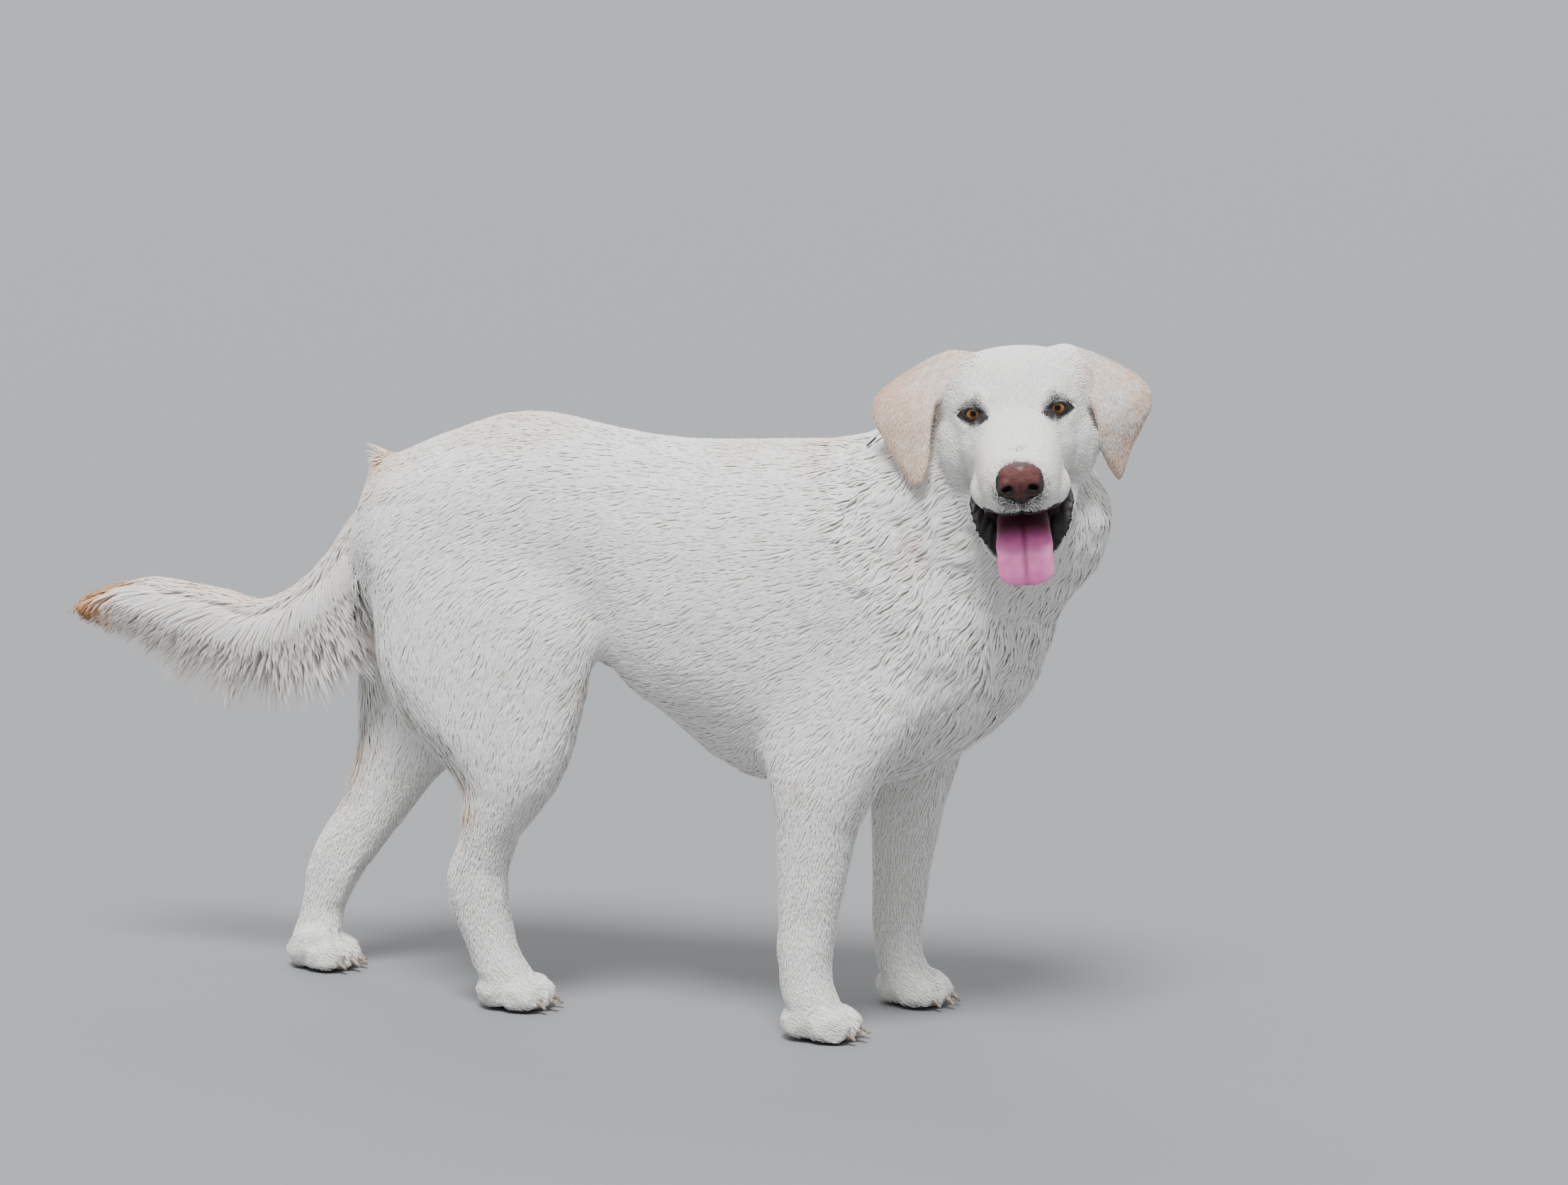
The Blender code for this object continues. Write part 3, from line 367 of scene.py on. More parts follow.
# For each part of the coat, in millimetres: its depth, and its locks' length, width and spacing
COAT = {
    "back": (1.5, 26.0, 2.3, 3.10),
    "side": (1.5, 26.0, 2.3, 3.10),
    "belly": (2.8, 26.0, 2.5, 3.4),
    "chest": (4.8, 36.0, 2.6, 3.25),
    "neck": (4.0, 32.0, 2.5, 3.15),
    "thigh": (1.8, 26.0, 2.3, 3.05),
    "breech": (8.0, 48.0, 2.4, 3.0),
    "tail": (8.0, 32.0, 2.0, 2.5),
    "arm": (1.5, 17.0, 1.9, 2.75),
    "shank": (1.3, 11.0, 1.7, 2.6),
    "paw": (1.2, 7.5, 1.5, 2.4),
    "skull": (1.3, 10.0, 1.4, 2.1),
    "cheek": (2.8, 17.0, 1.8, 2.3),
    "muzzle": (0.8, 5.5, 1.1, 1.8),
    "jaw": (1.3, 8.0, 1.4, 2.1),
    "ear": (1.0, 9.5, 1.3, 2.0),
}


# Where parts of the coat begin and end, in the body's frame
CHEST_FROM = 0.33
CHEST_TOP = 0.56
HIND_SHANK_TOP = 0.25
FORE_SHANK_TOP = 0.22
BREECH_LOW = 0.23
BREECH_TOP = 0.47
BREECH_FROM = -0.05

# Where the collar shows at the nape: x, forward, height. Elsewhere the coat is raised over it,
# and on the far side, where it would still show, the band lies deeper
NAPE = (-0.045, 0.281, 0.629)
NAPE_REACH = 0.036
OVER_COLLAR = 0.0034
COLLAR_TUCK = 0.0045

# The small upright tuft on the rump: centre and reach
CREST = ((0.0, -0.281, 0.592), (0.026, 0.018, 0.035))

# How much the coat ripples, where it does
RIPPLE = {"neck": 0.26, "chest": 0.26, "side": 0.10, "back": 0.05, "thigh": 0.14, "arm": 0.08}
RIPPLE_LENGTH = 0.034

# How free of the skin the locks are, and how far they spring away from it, where it isn't zero
LOOSE = {
    "tail": (1.0, 0.32),
    "breech": (0.95, 0.55),
    "chest": (0.35, 0.16),
    "neck": (0.20, 0.10),
    "cheek": (0.10, 0.05),
    "belly": (0.30, 0.12),
}


# Peach: how much, centre and reach in the body's frame
PEACH_ON_BODY = (
    (0.66, (-0.115, 0.232, 0.281), (0.030, 0.013, 0.020)),
    (0.55, (-0.105, 0.352, 0.535), (0.050, 0.014, 0.026)),
    # The third, at the groin in front of the near thigh, is partly painted shadow of the fold and
    # partly the darker skin there
    (0.36, (-0.090, -0.010, 0.362), (0.060, 0.028, 0.030)),
    (0.50, (0.000, 0.150, 0.640), (0.140, 0.050, 0.070)),
    (0.50, (0.000, 0.235, 0.630), (0.140, 0.035, 0.070)),
)
# Peach and grey in the head's frame, in the same way
PEACH_ON_HEAD = (
    (0.34, (-0.030, 0.070, -0.040), (0.030, 0.040, 0.034)),
    (0.34, (0.030, 0.070, -0.040), (0.030, 0.040, 0.034)),
)
GREY_ON_HEAD = (
    # The first grey, on the middle of the upper lip under the nose, is dark pepper plus painted
    # shadow
    (0.62, (0.000, 0.112, -0.072), (0.040, 0.034, 0.022)),
    (0.42, (0.002, 0.086, -0.010), (0.014, 0.009, 0.014)),
)


def near_line(points, line):
    """The nearest place on a line with rows (x, y, z, radius): point, share along it, radius."""
    line = np.array(line, float)
    best = np.full(len(points), 1e9)
    spot = np.zeros((len(points), 3))
    share, radius = np.zeros(len(points)), np.zeros(len(points))
    for row in range(len(line) - 1):
        a, b = line[row, :3], line[row + 1, :3]
        t = np.clip((points - a) @ (b - a) / ((b - a) @ (b - a)), 0.0, 1.0)
        here = a + t[:, None] * (b - a)
        away = np.linalg.norm(points - here, axis=1)
        closer = away < best
        best = np.where(closer, away, best)
        spot[closer] = here[closer]
        share[closer] = (row + t[closer]) / (len(line) - 1)
        radius[closer] = line[row, 3] + t[closer] * (line[row + 1, 3] - line[row, 3])
    return spot, share, radius


def nearest_node(points, shapes):
    """Index in FLESH of the CAD node nearest to each point."""
    all_points, all_tris = stacked(shapes)
    owner = np.repeat(np.arange(len(shapes)), [len(tris) for _, tris in shapes])
    tree = tree_of(all_points, all_tris)
    found = [tree.find_nearest(point)[2] for point in points.tolist()]
    return owner[np.array(found)]


# Flesh behind each ear that joins it to the cheek and the skull, in the head's frame: centre and
# radii
EAR_ROOTS = (
    ((0.066, -0.052, 0.004), (0.020, 0.026, 0.034)),
    ((0.070, -0.056, -0.040), (0.020, 0.026, 0.034)),
)


def whole_form(shapes):
    """Every flesh node grown by the weld, with the eyes filled in, as one closed form."""
    grown = []
    for points, tris in shapes:
        grown.append((points + WELD * vertex_normals(points, tris), tris))
    for sign in (1.0, -1.0):
        centre = from_head([sign * (EYE_SIDE + 0.0006), EYE_FRONT, 0.0])
        grown.append(ellipsoid(centre, (0.0182, 0.0138, 0.0140), HEAD))
        for place, radii in EAR_ROOTS:
            grown.append(ellipsoid(from_head(np.array(place) * (sign, 1.0, 1.0)), radii, HEAD))
    return remeshed(*stacked(grown), SKIN_VOXEL)


class Skin:
    """The whole skin as arrays, with what the coat needs to know at each point."""

    def __init__(self):
        shapes = [welded(node) for node in FLESH]
        self.tail_form = tree_of(*welded("tail"))
        points, tris = whole_form(shapes)
        head = to_head(points)
        away = (head - np.array((0.0, -0.010, -0.045))) / np.array((1.25, 1.0, 1.0))
        face = (np.linalg.norm(away, axis=1) < 0.125) & (head[:, 1] > -0.095)
        points, tris = thinned(points, tris, face, SKIN_TRIANGLES)
        points, tris = refined(points, tris, to_body(points)[:, 2] < 0.046)
        for reach in (0.034, 0.026):
            head = to_head(points)
            near = np.zeros(len(points), bool)
            for sign in (-1.0, 1.0):
                away = head - np.array((sign * EYE_SIDE, 0.0, 0.0))
                near |= (np.linalg.norm(away, axis=1) < reach) & (head[:, 1] > -0.015)
            points, tris = refined(points, tris, near)
        self.tris = tris
        self.net = Net(len(points), tris)
        self.label = nearest_node(points, shapes)
        self.points = self.smooth(points)
        self.fields()

    def is_node(self, *names):
        """Which points belong to one of the CAD nodes."""
        found = np.zeros(len(self.label), bool)
        for name in names:
            found |= self.label == FLESH.index(name)
        return found

    def smooth(self, points):
        """Fairs the body's joins and rounds the ankles, and keeps the head's forms."""
        body = ~self.is_node("head", "lower_jaw", "ear_left", "ear_right")
        height = to_body(points)[:, 2]
        mask = np.where(body, np.where(height < 0.042, 0.5, 1.0), 0.5)
        mask = self.net.spread(mask, 6)
        points = self.net.faired(points, 28, mask * body)
        ankles = step_up(height, 0.034, 0.052) * step_up(height, 0.110, 0.080)
        points = self.net.spread(points, 30, 0.5 * ankles[:, None])
        points = points + 0.0016 * ankles[:, None] * vertex_normals(points, self.tris)
        return self.net.faired(points, 8, mask)

    def fields(self):
        """Coat depth, lock sizes and lie of the coat over the body, smooth from part to part."""
        points = self.points
        body = to_body(points)
        head = to_head(points)
        normal = vertex_normals(points, self.tris)
        _, forward, height = body.T
        _, front, up = head.T
        legs_hind = self.is_node("hindleg_left", "hindleg_right")
        legs_fore = self.is_node("foreleg_left", "foreleg_right")
        paws = self.is_node("paw_fore_left", "paw_fore_right", "paw_hind_left", "paw_hind_right")
        ears = self.is_node("ear_left", "ear_right")
        skull = self.is_node("head")
        jaw = self.is_node("lower_jaw")
        neck = self.is_node("neck")
        tail = self.is_node("tail")
        part = np.full(len(points), "side", dtype="U8")
        part[normal[:, 2] > 0.6] = "back"
        part[(normal[:, 2] < -0.45) & ~legs_hind & ~legs_fore] = "belly"
        part[(forward > CHEST_FROM) & (height < CHEST_TOP)] = "chest"
        part[neck] = "neck"
        part[legs_hind] = "thigh"
        part[legs_hind & (height < HIND_SHANK_TOP)] = "shank"
        part[legs_fore] = "arm"
        part[legs_fore & (height < FORE_SHANK_TOP)] = "shank"
        top = BREECH_TOP + 0.022 * waves(points, 0.045, 41)
        rear = (normal[:, 1] > 0.45) & (forward < BREECH_FROM) & ~tail
        part[rear & (height > BREECH_LOW) & (height < top)] = "breech"
        part[paws] = "paw"
        part[skull] = "skull"
        part[skull & (front < -0.015) & (up < -0.028)] = "cheek"
        part[skull & (front > 0.012)] = "muzzle"
        part[jaw] = "jaw"
        part[jaw & (front < -0.02)] = "cheek"
        part[ears] = "ear"
        part[tail] = "tail"
        self.part = part
        table = np.array([COAT[name] for name in COAT])
        rows = np.array([list(COAT).index(name) for name in part])
        depth, length, width, spacing = table[rows].T * 0.001
        smooth = self.net.spread(np.stack([depth, length, width, spacing], 1), 12)
        self.depth, self.length, self.width, self.spacing = smooth.T
        away = mirrored(head) - np.array((EYE_SIDE, EYE_FRONT + 0.012, 0.0))
        near_eye = step_up(np.linalg.norm(away, axis=1), 0.030, 0.014)
        self.depth = self.depth * (1.0 - 0.75 * near_eye)
        self.length = self.length * (1.0 - 0.55 * near_eye)
        self.width = self.width * (1.0 - 0.35 * near_eye)
        self.flow = self.lie_of_coat(body, head, normal)

    def lie_of_coat(self, body, head, normal):
        """Which way the hair lies at each point: a direction along the surface."""
        x, forward, height = body.T
        side, front, up = head.T
        flow = np.zeros((len(body), 3))

        def lay(where, across, ahead, rise):
            """across is outward from the middle, ahead toward the nose, rise upward."""
            out = np.where(x > 0.0, across, -across)
            flow[where] = np.stack(np.broadcast_arrays(out, -ahead, rise), axis=1)[where]

        def lay_head(where, across, ahead, rise):
            """The same in the head's frame."""
            out = np.where(side > 0.0, across, -across)
            made = np.stack(np.broadcast_arrays(out, ahead, rise), axis=1)
            flow[where] = (made @ HEAD.T)[where]

        low = step_up(height, 0.60, 0.38)
        part = self.part
        lay(np.ones(len(x), bool), 0.0, -1.0, -0.10 - 0.30 * low)
        lay(part == "belly", 0.0, -1.0, -0.10)
        fore_end = step_up(forward, 0.26, 0.40)
        lay(part == "side", 0.05, -1.0 + 0.75 * fore_end, -0.15 - 0.35 * low - 0.75 * fore_end)
        lay(part == "chest", 0.15, -0.20, -1.0)
        throat = step_up(-normal[:, 1], 0.1, 0.8)
        lay(part == "neck", 0.05, -0.85 + 0.70 * throat, -0.60 - 0.40 * throat)
        down = step_up(height, 0.50, 0.24)
        rear_end = step_up(forward, 0.02, -0.16)
        lay(self.is_node("trunk") & (forward < -0.02), 0.0, -1.0, -0.15 - 0.55 * rear_end)
        lay(part == "thigh", 0.0, -0.85 + 0.45 * down, -0.55 - 0.50 * down)
        lay(part == "breech", 0.0, -0.45, -0.90)
        hamstring = (height < 0.44) & (height > 0.24) & np.isin(part, ("thigh", "breech"))
        toward_rear = step_up(normal[:, 1], -0.2, 0.5)
        lay(hamstring & (toward_rear > 0.02), 0.0, -0.35 + 0.75 * toward_rear, -1.0)
        lay(part == "arm", 0.0, -0.30, -1.0)
        lay(part == "shank", 0.0, -0.12, -1.0)
        lay(part == "paw", 0.0, 0.80, -0.65)
        spot, share, _ = near_line(body, TAIL_CORE)
        along = tail_way(share)
        under = step_up(spot[:, 2] - height, -0.004, 0.012)
        hang = (1.35 - 1.0 * share) * under
        tail = part == "tail"
        flow[tail] = (along + hang[:, None] * DOWN)[tail]
        lay_head(np.isin(part, ("skull", "cheek", "muzzle", "jaw")), 0.10, -1.0, 0.15)
        brow = step_up(front, 0.02, -0.02)
        lay_head(part == "skull", 0.12, -0.75, 0.55 - 0.35 * brow)
        lay_head(part == "cheek", 0.10, -0.80, -0.55)
        lay_head(part == "muzzle", 0.25, -1.0, 0.10 - 0.35 * step_up(up, -0.02, -0.07))
        lay_head(part == "jaw", 0.10, -1.0, -0.30)
        lay_head(part == "ear", 0.05, 0.10, -1.0)
        for sign in (-1.0, 1.0):
            away = head - np.array((sign * 0.030, EYE_FRONT + 0.012, -0.003))
            ring = step_up(np.linalg.norm(away, axis=1), 0.036, 0.020) * (part != "ear")
            outward = unit(away) @ HEAD.T
            flow = flow + (ring * 1.4)[:, None] * outward
        flow = unit(flow)
        for _ in range(26):
            flow = self.net.spread(flow, 1, 0.8)
            flow = unit(flow - normal * (flow * normal).sum(axis=1, keepdims=True))
        return flow

    def shrink_to_flesh(self):
        """Moves the outer form in by the depth of the coat, and the tail to its own core."""
        normal = unit(self.net.spread(vertex_normals(self.points, self.tris), 4))
        inner = self.points - normal * self.depth[:, None]
        body = to_body(self.points)
        spot, share, radius = near_line(body, TAIL_CORE)
        away = body - spot
        reach = np.linalg.norm(away, axis=1)
        core = from_body(spot + away * (np.minimum(reach * 0.55, radius) / reach)[:, None])
        weight = self.net.spread(self.is_node("tail") * step_up(share, 0.02, 0.22), 4)[:, None]
        self.points = inner * (1.0 - weight) + core * weight
        self.points = self.net.faired(self.points, 3, np.clip(weight[:, 0] * 2.0, 0.1, 1.0))

    def push(self, amount):
        """Moves each point out along its normal by an amount."""
        self.points = self.points + vertex_normals(self.points, self.tris) * amount[:, None]

    def sculpt_face(self):
        """The face's forms, the furrow of the brow, the groove under the nose and the chin."""
        head = to_head(self.points)
        skull = self.net.spread(self.is_node("head").astype(float), 2)
        jaw = self.net.spread(self.is_node("lower_jaw").astype(float), 2)
        mirror = mirrored(head)
        amount = np.zeros(len(head))
        for centre, radius, height in FACE_FORMS:
            amount += bump_at(mirror, centre, radius) * height
        furrow = np.exp(-((head[:, 0] / 0.0045) ** 2)) * step_up(head[:, 2], -0.004, 0.012)
        amount -= furrow * step_up(head[:, 2], 0.050, 0.022) * (head[:, 1] > -0.06) * 0.0013
        self.push(amount * skull)
        philtrum = np.exp(-((head[:, 0] / 0.0022) ** 2)) * step_up(head[:, 2], -0.050, -0.060)
        above_lip = step_up(head[:, 2], -0.086, -0.078)
        self.push(-philtrum * above_lip * (head[:, 1] > 0.09) * 0.0024 * skull)
        self.push(bump_at(mirror, (0.0, 0.060, -0.146), (0.020, 0.014, 0.010)) * 0.001 * jaw)

    def part_toes(self):
        """Furrows between the toes, from the places of the claws, and a knuckle behind each."""
        amount = np.zeros(len(self.points))
        for place in ("fore", "hind"):
            for hand in ("left", "right"):
                here = self.is_node("paw_%s_%s" % (place, hand))
                centre = middle_of("paw_%s_%s" % (place, hand))
                away = self.points - np.array(centre)
                heel = bump_at(away, (0.0, 0.042, 0.0), (0.045, 0.026, 0.036))
                waist = bump_at(away, (0.0, 0.012, -0.006), (0.060, 0.024, 0.030))
                amount += (0.0026 * waist - 0.0042 * heel) * here
                claws = [middle_of("claw_%s_%s_%d" % (place, hand, toe)) for toe in (1, 2, 3, 4)]
                for claw in claws:
                    knuckle = np.array(claw) + np.array((0.0, 0.017, 0.011))
                    amount += 0.0022 * bump_at(self.points, knuckle, 0.012) * here
                for one, other in zip(claws[:-1], claws[1:]):
                    between = 0.5 * np.array(one + other)
                    ahead = between - np.array(centre) - np.array((0.0, 0.022, 0.0))
                    ahead = unit(ahead * np.array((1.0, 1.0, 0.0)))
                    away = self.points - between
                    along = away @ ahead
                    across = away @ np.array((-ahead[1], ahead[0], 0.0))
                    furrow = np.exp(-((across / 0.0024) ** 2)) * step_up(along, -0.038, -0.014)
                    amount -= 0.0050 * furrow * here * (self.points[:, 2] > 0.003)
        self.push(amount)

    def carve_eyes(self):
        """Lids that lie on each eye, with a crease above and a fold below."""
        for sign in (-1.0, 1.0):
            centre = eye_centre(sign)
            axes = eye_axes(sign)
            local = (self.points - centre) @ axes
            away = np.linalg.norm(local, axis=1)
            share = almond_share(local[:, 0], local[:, 1])
            facing = (local[:, 2] > 0.0) & (away < 0.032)
            rim = almond_distance(local[:, 0], local[:, 1])
            lid = facing * step_up(rim, 0.0110, 0.0034)
            wanted = EYE_RADIUS + LID_THICKNESS
            target = local * (wanted / away)[:, None]
            local = local + (target - local) * lid[:, None]
            crease = np.exp(-(((rim - 0.0062) / 0.0014) ** 2)) * (local[:, 1] > 0.0)
            fold = np.exp(-(((rim - 0.0070) / 0.0018) ** 2)) * (local[:, 1] < 0.0)
            ridge = np.exp(-(((rim - 0.0032) / 0.0020) ** 2)) * 0.9
            change = (0.0005 * ridge - 0.0011 * crease - 0.0007 * fold) * facing
            local = local + unit(local) * change[:, None]
            hole = facing & (share < 1.0)
            sunk = unit(local) * (EYE_RADIUS - 0.0030)
            local[hole] = sunk[hole]
            self.points = local @ axes.T + centre

    def finish_fields(self):
        """What the tufts read: normals, flow, ripples, markings and the bare places."""
        self.tree = tree_of(self.points, self.tris)
        head = to_head(self.points)
        body = to_body(self.points)
        self.normal = vertex_normals(self.points, self.tris)
        smooth = unit(self.net.spread(self.normal, 5))
        self.face_normal = unit(smooth[self.tris].sum(axis=1))
        for _ in range(2):
            tilt = (self.flow * smooth).sum(axis=1, keepdims=True)
            self.flow = unit(self.flow - smooth * tilt)
        self.face_flow = unit(self.flow[self.tris].sum(axis=1))
        ripple = np.zeros(len(self.points))
        for name, amount in RIPPLE.items():
            ripple[self.part == name] = amount
        ripple = self.net.spread(ripple, 12)
        self.face_ripple = ripple[self.tris].mean(axis=1)
        loose = np.zeros((len(self.points), 2))
        for name, pair in LOOSE.items():
            loose[self.part == name] = pair
        self.free, self.spring = self.net.spread(loose, 16).T
        self.crest = bump_at(body, *CREST)
        band = tree_of(*welded("collar"))
        gap = np.array([band.find_nearest(point)[3] for point in self.points.tolist()])
        near_nape = bump_at(body, NAPE, NAPE_REACH) * (body[:, 0] < 0.0)
        far_side = 1.0 + 0.7 * (body[:, 0] > 0.01)
        self.cover = step_up(gap, 0.034, 0.014) * (1.0 - near_nape) * far_side
        self.tan = np.clip(self.peach(head, body), 0.0, 1.0)
        self.grey = np.clip(self.pepper_and_shade(head), 0.0, 1.0)
        self.bare_places(head, body)

    def peach(self, head, body):
        """How peach the coat and the skin under it are: ears, rump, tail, hocks, small places, one
        of them, at the groin, partly painted shadow.
        """
        _, forward, height = body.T
        side, _, up = head.T
        ears = self.net.spread((self.part == "ear").astype(float), 2)
        mottle = waves(self.points, 0.016, 11)
        outer = step_up(np.abs(side), 0.085, 0.135)
        tip = step_up(up, -0.045, -0.075)
        near = np.where(side < 0.0, 0.50, 0.34)
        tan = ears * np.clip(near + 0.18 * mottle + 0.30 * outer + 0.34 * tip, 0.0, 0.75)
        rump = bump_at(body, (0.0, -0.262, 0.585), (0.12, 0.085, 0.060))
        tan = np.maximum(tan, 0.74 * rump**0.8)
        croup = step_up(height, 0.605, 0.635) * step_up(forward, 0.0, -0.10) * (self.part == "back")
        tan = np.maximum(tan, 0.40 * croup)
        tail = self.net.spread((self.part == "tail").astype(float), 3)
        end = step_up(forward + 0.006 * waves(self.points, 0.020, 31), -0.555, -0.630)
        top = step_up(self.normal[:, 2], 0.3, 0.9) * (0.8 + 0.5 * waves(self.points, 0.045, 33))
        root = step_up(forward, -0.34, -0.29)
        tan = np.maximum(tan, tail * (0.10 + 0.34 * top + 0.22 * root + 0.95 * end))
        hocks = step_up(height, 0.165, 0.215) * step_up(height, 0.300, 0.250) * (forward < 0.0)
        tan = np.maximum(tan, 0.54 * hocks * step_up(self.normal[:, 1], 0.25, 0.90))
        for points, places in ((body, PEACH_ON_BODY), (head, PEACH_ON_HEAD)):
            for share, centre, radius in places:
                tan = np.maximum(tan, share * bump_at(points, centre, radius))
        return tan

    def pepper_and_shade(self, head):
        """How grey they are: peppered hair round the eyes and under the nose, and painted shade in
        the eye sockets and under the nose.
        """
        grey = np.zeros(len(self.points))
        for sign in (-1.0, 1.0):
            local = (self.points - eye_centre(sign)) @ eye_axes(sign)
            rim = almond_distance(local[:, 0], local[:, 1])
            front_side = (local[:, 2] > 0.0) & (np.linalg.norm(local, axis=1) < 0.05)
            dark = step_up(liner_share(local[:, 0], local[:, 1]), 1.70, 0.72)
            dark = np.maximum(dark, 0.60 * np.exp(-((rim / 0.0068) ** 2)))
            corner = bump_at(local, (-0.019, -0.006, 0.008), (0.010, 0.008, 0.03))
            # The pouch below the eye and the brow above it are partly peppered hair and partly
            # painted shade of the eye socket
            pouch = bump_at(local, (-0.006, -0.021, 0.010), (0.020, 0.014, 0.03))
            brow = bump_at(local, (-0.005, 0.015, 0.010), (0.012, 0.010, 0.03))
            some = np.maximum(dark, 0.66 * corner) + 0.40 * pouch + 0.38 * brow
            grey = np.maximum(grey, some * front_side)
        # Under the nose: dark pepper plus painted shadow, stronger toward the bottom
        nose = np.linalg.norm(head - np.array((0.0, 0.112, -0.042)), axis=1)
        below = 0.22 + 0.78 * step_up(head[:, 2], -0.030, -0.058)
        grey = np.maximum(grey, 0.62 * step_up(nose, 0.034, 0.024) * below)
        for share, centre, radius in GREY_ON_HEAD:
            grey = np.maximum(grey, share * bump_at(head, centre, radius))
        return grey

    def bare_places(self, head, body):
        """Where no hair grows: the edges of the lids, the nose, the mouth and the soles."""
        bare = np.zeros(len(self.points))
        for sign in (-1.0, 1.0):
            local = (self.points - eye_centre(sign)) @ eye_axes(sign)
            rim = almond_distance(local[:, 0], local[:, 1])
            share = almond_share(local[:, 0], local[:, 1])
            liner = liner_share(local[:, 0], local[:, 1])
            lids = (rim < 0.0022) | (share < 1.0) | (liner < 0.54)
            bare[lids & (local[:, 2] > 0.0) & (local[:, 2] < 0.02)] = 1.0
        soles = (body[:, 2] < 0.007) & (self.normal[:, 2] < -0.3)
        bare[soles] = 1.0
        nose = (head - np.array((0.0, 0.110, -0.040))) / np.array((1.25, 1.0, 1.0))
        bare[np.linalg.norm(nose, axis=1) < 0.0195] = 1.0
        side, front, up = head.T
        inside = self.is_node("head", "lower_jaw") & (front > 0.0) & (np.abs(side) < 0.040)
        roof = inside & (self.normal @ HEAD[:, 2] < -0.35) & (up > -0.100) & (up < -0.070)
        faces_up = self.normal @ HEAD @ np.array((0.0, 0.5, 0.85)) > 0.3
        mouth = roof | inside & self.is_node("lower_jaw") & faces_up
        bare[mouth] = 1.0
        self.bare = bare
        self.mouth = self.net.spread(mouth.astype(float), 2)
        self.sole = self.net.spread(soles.astype(float), 1)

    def unwrap(self, obj):
        """Cuts the skin into flat pieces side by side, and keeps the result for the tufts."""
        for other in bpy.context.selected_objects:
            other.select_set(False)
        bpy.context.view_layer.objects.active = obj
        obj.select_set(True)
        obj.data.uv_layers.new(name=UV_NAME)
        bpy.ops.object.mode_set(mode="EDIT")
        bpy.ops.mesh.select_all(action="SELECT")
        bpy.ops.uv.smart_project(angle_limit=math.radians(70), island_margin=0.001)
        bpy.ops.object.mode_set(mode="OBJECT")
        corner = np.empty(len(obj.data.loops) * 2, np.float32)
        obj.data.uv_layers[UV_NAME].data.foreach_get("uv", corner)
        self.corner_uv = corner.reshape(-1, 3, 2).astype(float)


# Face forms: centre and radius (side, front, up), then how far out, mirrored to both sides
FACE_FORMS = (
    ((0.030, 0.000, 0.019), (0.021, 0.030, 0.013), 0.0026),
    ((0.000, 0.012, 0.002), (0.016, 0.040, 0.016), -0.0014),
    ((0.034, 0.020, -0.024), (0.016, 0.026, 0.014), -0.0018),
    ((0.058, -0.034, -0.030), (0.030, 0.045, 0.034), 0.0024),
    ((0.050, 0.016, -0.062), (0.016, 0.024, 0.018), 0.0036),
    ((0.036, 0.048, -0.060), (0.020, 0.034, 0.020), 0.0016),
    ((0.020, 0.100, -0.066), (0.016, 0.022, 0.014), 0.0012),
    ((0.000, 0.060, -0.002), (0.014, 0.050, 0.014), 0.0006),
    ((0.024, -0.050, 0.046), (0.026, 0.050, 0.024), 0.0018),
)

# Opening of the lids, seen square on: half width, and rise and drop from the line between the
# corners
LID_HALF_WIDTH = 0.0102
LID_RISE = 0.0066
LID_DROP = 0.0062
LID_INNER_CORNER = -0.0032
LID_OUTER_CORNER = -0.0006
LID_THICKNESS = 0.0012


def eye_centre(sign):
    return from_head([sign * EYE_SIDE, EYE_FRONT, 0.0])


def eye_axes(sign):
    """Columns: outward across the lids, up, and out of the eye."""
    out = unit(HEAD @ np.array((sign * 0.10, 1.0, 0.28)))
    across = unit(np.cross(HEAD[:, 2], out)) * sign
    across = across if across @ HEAD[:, 0] * sign > 0 else -across
    up = unit(np.cross(out, across))
    up = up if up @ HEAD[:, 2] > 0 else -up
    return np.stack([across, up, out], axis=1)


# The dark skin round the opening, drawn out to a point at both corners
LINER_HALF_WIDTH = 0.0184
LINER_RISE = 0.0094
LINER_DROP = 0.0080


def liner_share(across, up):
    """Below 1 on the dark skin round the lids."""
    t = np.clip(np.abs(across) / LINER_HALF_WIDTH, 0.0, 1.0)
    over = up - almond_line(across) + 0.0012
    reach = np.where(over > 0.0, LINER_RISE, LINER_DROP) * (1.0 - t**1.8) ** 0.85
    share = np.abs(over) / np.maximum(reach, 1e-5)
    return np.where(np.abs(across) < LINER_HALF_WIDTH, share, 9.0)


def almond_line(across):
    """Height of the line between the corners."""
    t = np.clip(0.5 + 0.5 * across / LID_HALF_WIDTH, 0.0, 1.0)
    return LID_INNER_CORNER + (LID_OUTER_CORNER - LID_INNER_CORNER) * t


def almond_reach(across, above):
    """How far the lids open from that line."""
    t = np.clip(np.abs(across) / LID_HALF_WIDTH, 0.0, 1.0)
    return np.where(above, LID_RISE, LID_DROP) * (1.0 - t**2) ** 0.85


def almond_share(across, up):
    """Below 1 inside the opening of the lids."""
    over = up - almond_line(across)
    reach = almond_reach(across, over > 0.0)
    share = np.abs(over) / np.maximum(reach, 1e-5)
    return np.where(np.abs(across) < LID_HALF_WIDTH, share, 9.0)


def almond_outline(count):
    """Points (across, up) round the opening."""
    turn = turns(count)
    across = LID_HALF_WIDTH * np.cos(turn)
    up = almond_line(across) + np.sign(np.sin(turn)) * almond_reach(across, np.sin(turn) > 0.0)
    return np.stack([across, up], axis=1)


